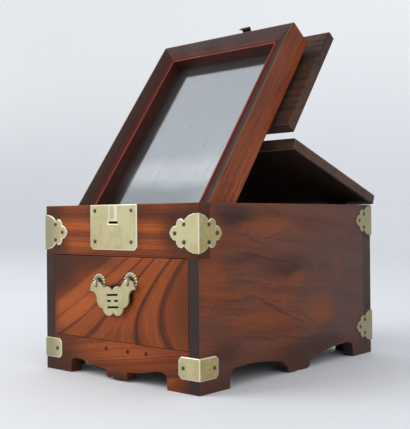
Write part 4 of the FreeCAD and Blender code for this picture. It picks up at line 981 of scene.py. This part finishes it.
class MIRRORBOX_OT_mirror(DressOperator, bpy.types.Operator):
    """Finish the mirror, its moulded frame and its backing"""
    bl_idname = "mirror_box.mirror"
    bl_label = "Mirror"

    def execute(self, context):
        wood = context.scene.mirror_box_wood
        face = frame_wood()
        edge = frame_wood("frame_wood_worn", worn=True)
        for member in ("stile_left", "stile_right", "rail_top", "rail_bottom"):
            dress("frame_" + member, face, edge, 0.35 * MM, sharpest=50.0)
        glass = old_mirror()
        dress("mirror_glass", glass, glass, 0.15 * MM, segments=1)
        backing = plain_wood("backing_wood", wood.bare, paint(66, 46, 36), ALONG_Y,
                             **closed_leaf())
        dress("mirror_backing", backing, backing, 0.2 * MM)
        return {"FINISHED"}


class MIRRORBOX_OT_drawer(DressOperator, bpy.types.Operator):
    """Finish the drawer's figured front and its plain box"""
    bl_idname = "mirror_box.drawer"
    bl_label = "Drawer"

    def execute(self, context):
        wood = context.scene.mirror_box_wood
        edge = drawer_wood(wood, DRAWER_WORN_LIFT, "drawer_wood_worn")
        dress("drawer_front", drawer_wood(wood), edge, 0.35 * MM)
        inner = plain_wood("drawer_box_wood", paint(150, 112, 80), paint(98, 70, 50), ALONG_Y,
                           gloss=0.6)
        for board in ("side_left", "side_right", "back", "bottom"):
            dress("drawer_" + board, inner, inner, 0.3 * MM)
        pegs = plain_wood("drawer_peg_wood", paint(96, 66, 46), paint(60, 42, 32), (1, 1, 1))
        dress("drawer_pegs", pegs, pegs, 0.12 * MM)
        return {"FINISHED"}


class MIRRORBOX_OT_mounts(DressOperator, bpy.types.Operator):
    """Finish the corner mounts and the lock plate"""
    bl_idname = "mirror_box.mounts"
    bl_label = "Corner Mounts and Lock Plate"

    def execute(self, context):
        metal = context.scene.mirror_box_metal
        face = brass(metal)
        # The rims' bright finish is a painted highlight.
        rim = brass(metal, "rubbed_brass", highlit=True)
        for name in sorted(nodes):
            if name.startswith("corner_mount_") or name == "lock_plate":
                dress(name, face, rim, metal.rim, seated=True)
        return {"FINISHED"}


class MIRRORBOX_OT_hinges(DressOperator, bpy.types.Operator):
    """Finish the iron hinges and the hasp"""
    bl_idname = "mirror_box.hinges"
    bl_label = "Hinges and Hasp"

    def execute(self, context):
        metal = context.scene.mirror_box_metal
        iron = dark_metal("black_iron", metal.iron, paint(88, 60, 42))
        edge = dark_metal("rubbed_iron", paint(110, 98, 86), metal.iron, rough=0.38)
        for name in sorted(nodes):
            if "hinge" in name and "nails" not in name or name.startswith("hasp"):
                dress(name, iron, edge, 0.2 * MM)
        return {"FINISHED"}


class MIRRORBOX_OT_nails(DressOperator, bpy.types.Operator):
    """Set hammered nail heads in the mounts, the lock plate and the hinges"""
    bl_idname = "mirror_box.nails"
    bl_label = "Nails"

    def execute(self, context):
        metal = context.scene.mirror_box_metal
        sizes = context.scene.mirror_box_nails
        heads = nail_scatter()
        bronze = dark_metal("nail_bronze", metal.nail, paint(58, 52, 36), rough=0.4)
        iron = bpy.data.materials["black_iron"]
        for node in ("case_nails", "hinge_nails", "lid_rear_nails", "lid_front_nails"):
            seats = [nail_seat(points) for points in islands(node)]
            mesh = bpy.data.meshes.new(node + "_heads")
            height = sizes.height
            mesh.from_pydata([seat - facing * height for seat, facing in seats], [], [])
            facings = mesh.attributes.new("facing", "FLOAT_VECTOR", "POINT")
            for number, (seat, facing) in enumerate(seats):
                facings.data[number].vector = facing
            piece = bpy.data.objects.new(node + "_heads", mesh)
            context.scene.collection.objects.link(piece)
            heads.attach(piece, {
                "Head Radius": sizes.radius, "Head Height": height, "Seed": sizes.seed,
                "Finish": bronze if node == "case_nails" else iron,
            })
            settle(piece, smooth_angle=60.0)
            stand_in(piece, node)
        return {"FINISHED"}


# A rosette's outline as (radius, height), its hollow, whose dark finish is painted shade, and
# the ring its beads stand on, in millimetres.
ROSETTE_OUTLINE = [(0.0, 0.0), (7.2, 0.0), (7.3, 0.3), (7.1, 0.65), (6.7, 0.75), (5.7, 0.75),
                   (5.3, 1.0), (4.9, 1.05), (4.6, 0.9), (4.2, 0.6), (3.4, 0.5), (0.0, 0.45)]
HOLLOW_RADIUS = 4.0
BEAD_RING = 6.85


class MIRRORBOX_OT_pull(DressOperator, bpy.types.Operator):
    """Make the rosettes with their beads, the eyelets and the pierced pull plate"""
    bl_idname = "mirror_box.pull"
    bl_label = "Drawer Pull"

    def execute(self, context):
        metal = context.scene.mirror_box_metal
        sizes = context.scene.mirror_box_rosettes
        # The bright finish of the pull plate's rim, the beads and the eyelets is a painted
        # highlight.
        rim = bpy.data.materials["rubbed_brass"]
        dress("pull_plate", brass(metal, "pull_brass", aged=0.1), rim, metal.rim * 1.3)
        dish = brass(metal, "dish_brass", aged=0.7)
        beads = bead_scatter()
        # The hollow's dark finish is painted shade in the rosette's dished middle.
        hollow = dark_metal("rosette_hollow", paint(58, 54, 40), paint(34, 30, 24), rough=0.55)
        for hand in ("left", "right"):
            low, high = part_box("rosette_" + hand)
            centre = Vector(((low.x + high.x) / 2, CASE_FRONT, (low.z + high.z) / 2))
            piece = new_piece(f"rosette_{hand}_beaded", lathe(ROSETTE_OUTLINE, centre),
                              [dish, hollow])
            for polygon in piece.data.polygons:
                middle = polygon.center - centre
                if Vector((middle.x, middle.z)).length < HOLLOW_RADIUS * MM and middle.y < 0:
                    polygon.material_index = 1
            beads.attach(piece, {
                "Centre": centre, "Ring Radius": BEAD_RING * MM, "Bead Radius": sizes.bead_radius,
                "Bead Height": sizes.bead_height, "Beads": sizes.beads, "Finish": rim,
            })
            settle(piece, smooth_angle=50.0)
            stand_in(piece, "rosette_" + hand)
            eyelet = new_piece(f"eyelet_{hand}_bent", wire_eyelet("eyelet_" + hand), [rim])
            eyelet.data.shade_smooth()
            eyelet.data.set_sharp_from_angle(angle=math.radians(40.0))
            stand_in(eyelet, "eyelet_" + hand)
        return {"FINISHED"}


class MIRRORBOX_OT_stage(DressOperator, bpy.types.Operator):
    """Set the pale sweep, the soft lights and the camera"""
    bl_idname = "mirror_box.stage"
    bl_label = "Stage"

    def execute(self, context):
        scene = context.scene
        stage = scene.mirror_box_stage
        sweep(stage.floor)
        world(scene)
        lamp("key", *KEY_LAMP, stage.key_power)
        lamp("fill", *FILL_LAMP, stage.key_power * FILL_SHARE)
        camera(scene)
        scene.view_settings.view_transform = "Standard"
        return {"FINISHED"}


def sweep(colour):
    """A floor that bends up into a backdrop behind the box."""
    shape = bmesh.new()
    near, far, turn, height, half, steps = -4.0, 3.0, 1.1, 4.0, 5.0, 24
    points = [(near, 0.0), (far - turn, 0.0)]
    for step in range(1, steps + 1):
        angle = math.pi / 2 * step / steps
        points.append((far - turn + turn * math.sin(angle), turn - turn * math.cos(angle)))
    points.append((far, height))
    rows = [[shape.verts.new((side * half, y, z)) for side in (-1, 1)] for y, z in points]
    for first, second in zip(rows, rows[1:]):
        shape.faces.new((first[0], first[1], second[1], second[0]))
    graph = Graph("pale_sweep")
    where = graph.place()
    cloud = graph.noise(where, 0.004, detail=3.0)
    tint = graph.mix(graph.between(cloud, 0.3, 0.7, 0.0, 0.25), colour, paint(218, 221, 225))
    # Painted light: the backdrop is made lighter as it rises.
    height = graph.split(where)[2]
    tint = graph.mix(graph.between(height, 100.0, 1300.0), tint, paint(252, 253, 254))
    material = graph.finish(Base_Color=tint, Roughness=0.75)
    piece = new_piece("pale_sweep", shape, [material])
    piece.data.shade_smooth()


def world(scene):
    """A pale surround, a little darker overhead, that metal and glass reflect."""
    scene.world = bpy.data.worlds.new("studio")
    scene.world.use_nodes = True
    graph = NodeGraph(scene.world.node_tree)
    parts = graph.tree.nodes.new("ShaderNodeSeparateXYZ")
    graph.feed(parts.inputs[0], graph.add("ShaderNodeTexCoord", output="Generated"))
    shade = graph.ramp(parts.outputs[2], [(0.0, paint(243, 245, 248)), (1.0, paint(236, 238, 242))])
    light = graph.add("ShaderNodeBackground", {0: shade, 1: 0.95})
    graph.feed(graph.tree.nodes.new("ShaderNodeOutputWorld").inputs[0], light)


def lamp(name, place, target, size, power):
    """A square soft light, aimed at the box."""
    data = bpy.data.lights.new(name, "AREA")
    data.size = size
    data.energy = power
    piece = bpy.data.objects.new(name, data)
    piece.location = place
    direction = Vector(target) - Vector(place)
    piece.rotation_euler = direction.to_track_quat("-Z", "Y").to_euler()
    bpy.context.scene.collection.objects.link(piece)


def camera(scene):
    """The photograph's view, from the right front, level with the rail."""
    data = bpy.data.cameras.new("view")
    data.sensor_width = SENSOR_WIDTH
    data.lens = LENS
    piece = bpy.data.objects.new("view", data)
    ahead = math.cos(CAMERA_ELEVATION)
    forward = Vector((-math.sin(CAMERA_AZIMUTH) * ahead, math.cos(CAMERA_AZIMUTH) * ahead,
                      math.sin(CAMERA_ELEVATION)))
    level = forward.cross(Vector((0, 0, 1))).normalized()
    up = level.cross(forward)
    turned = Matrix.Rotation(CAMERA_ROLL, 3, forward)
    right, up = turned @ level, turned @ up
    rotation = Matrix((right, up, -forward)).transposed()
    piece.matrix_world = Matrix.Translation(CAMERA_PLACE) @ rotation.to_4x4()
    scene.collection.objects.link(piece)
    scene.camera = piece


class MIRRORBOX_PT_panel(bpy.types.Panel):
    bl_idname = "MIRRORBOX_PT_panel"
    bl_label = "Mirror Box"
    bl_space_type = "VIEW_3D"
    bl_region_type = "UI"
    bl_category = "Mirror Box"

    def draw(self, context):
        scene = context.scene
        for group in GROUPS:
            box = self.layout.box()
            settings = getattr(scene, group)
            for name in settings.bl_rna.properties.keys():
                if name not in ("rna_type", "name"):
                    box.prop(settings, name)
        for operator in OPERATORS:
            self.layout.operator(operator.bl_idname)


GROUPS = {
    "mirror_box_wood": WoodColours,
    "mirror_box_metal": MetalColours,
    "mirror_box_nails": NailSizes,
    "mirror_box_rosettes": RosetteSizes,
    "mirror_box_stage": StageColours,
}
OPERATORS = [
    MIRRORBOX_OT_case, MIRRORBOX_OT_lid, MIRRORBOX_OT_mirror, MIRRORBOX_OT_drawer,
    MIRRORBOX_OT_mounts, MIRRORBOX_OT_hinges, MIRRORBOX_OT_nails, MIRRORBOX_OT_pull,
    MIRRORBOX_OT_stage,
]


def register():
    for group in GROUPS.values():
        bpy.utils.register_class(group)
    for name, group in GROUPS.items():
        setattr(bpy.types.Scene, name, PointerProperty(type=group))
    for operator in OPERATORS:
        bpy.utils.register_class(operator)
    bpy.utils.register_class(MIRRORBOX_PT_panel)


def unregister():
    bpy.utils.unregister_class(MIRRORBOX_PT_panel)
    for operator in reversed(OPERATORS):
        bpy.utils.unregister_class(operator)
    for name, group in GROUPS.items():
        delattr(bpy.types.Scene, name)
        bpy.utils.unregister_class(group)


def main():
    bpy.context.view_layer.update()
    register()
    for operator in OPERATORS:
        group, action = operator.bl_idname.split(".")
        getattr(getattr(bpy.ops, group), action)()


if __name__ == "__main__":
    main()
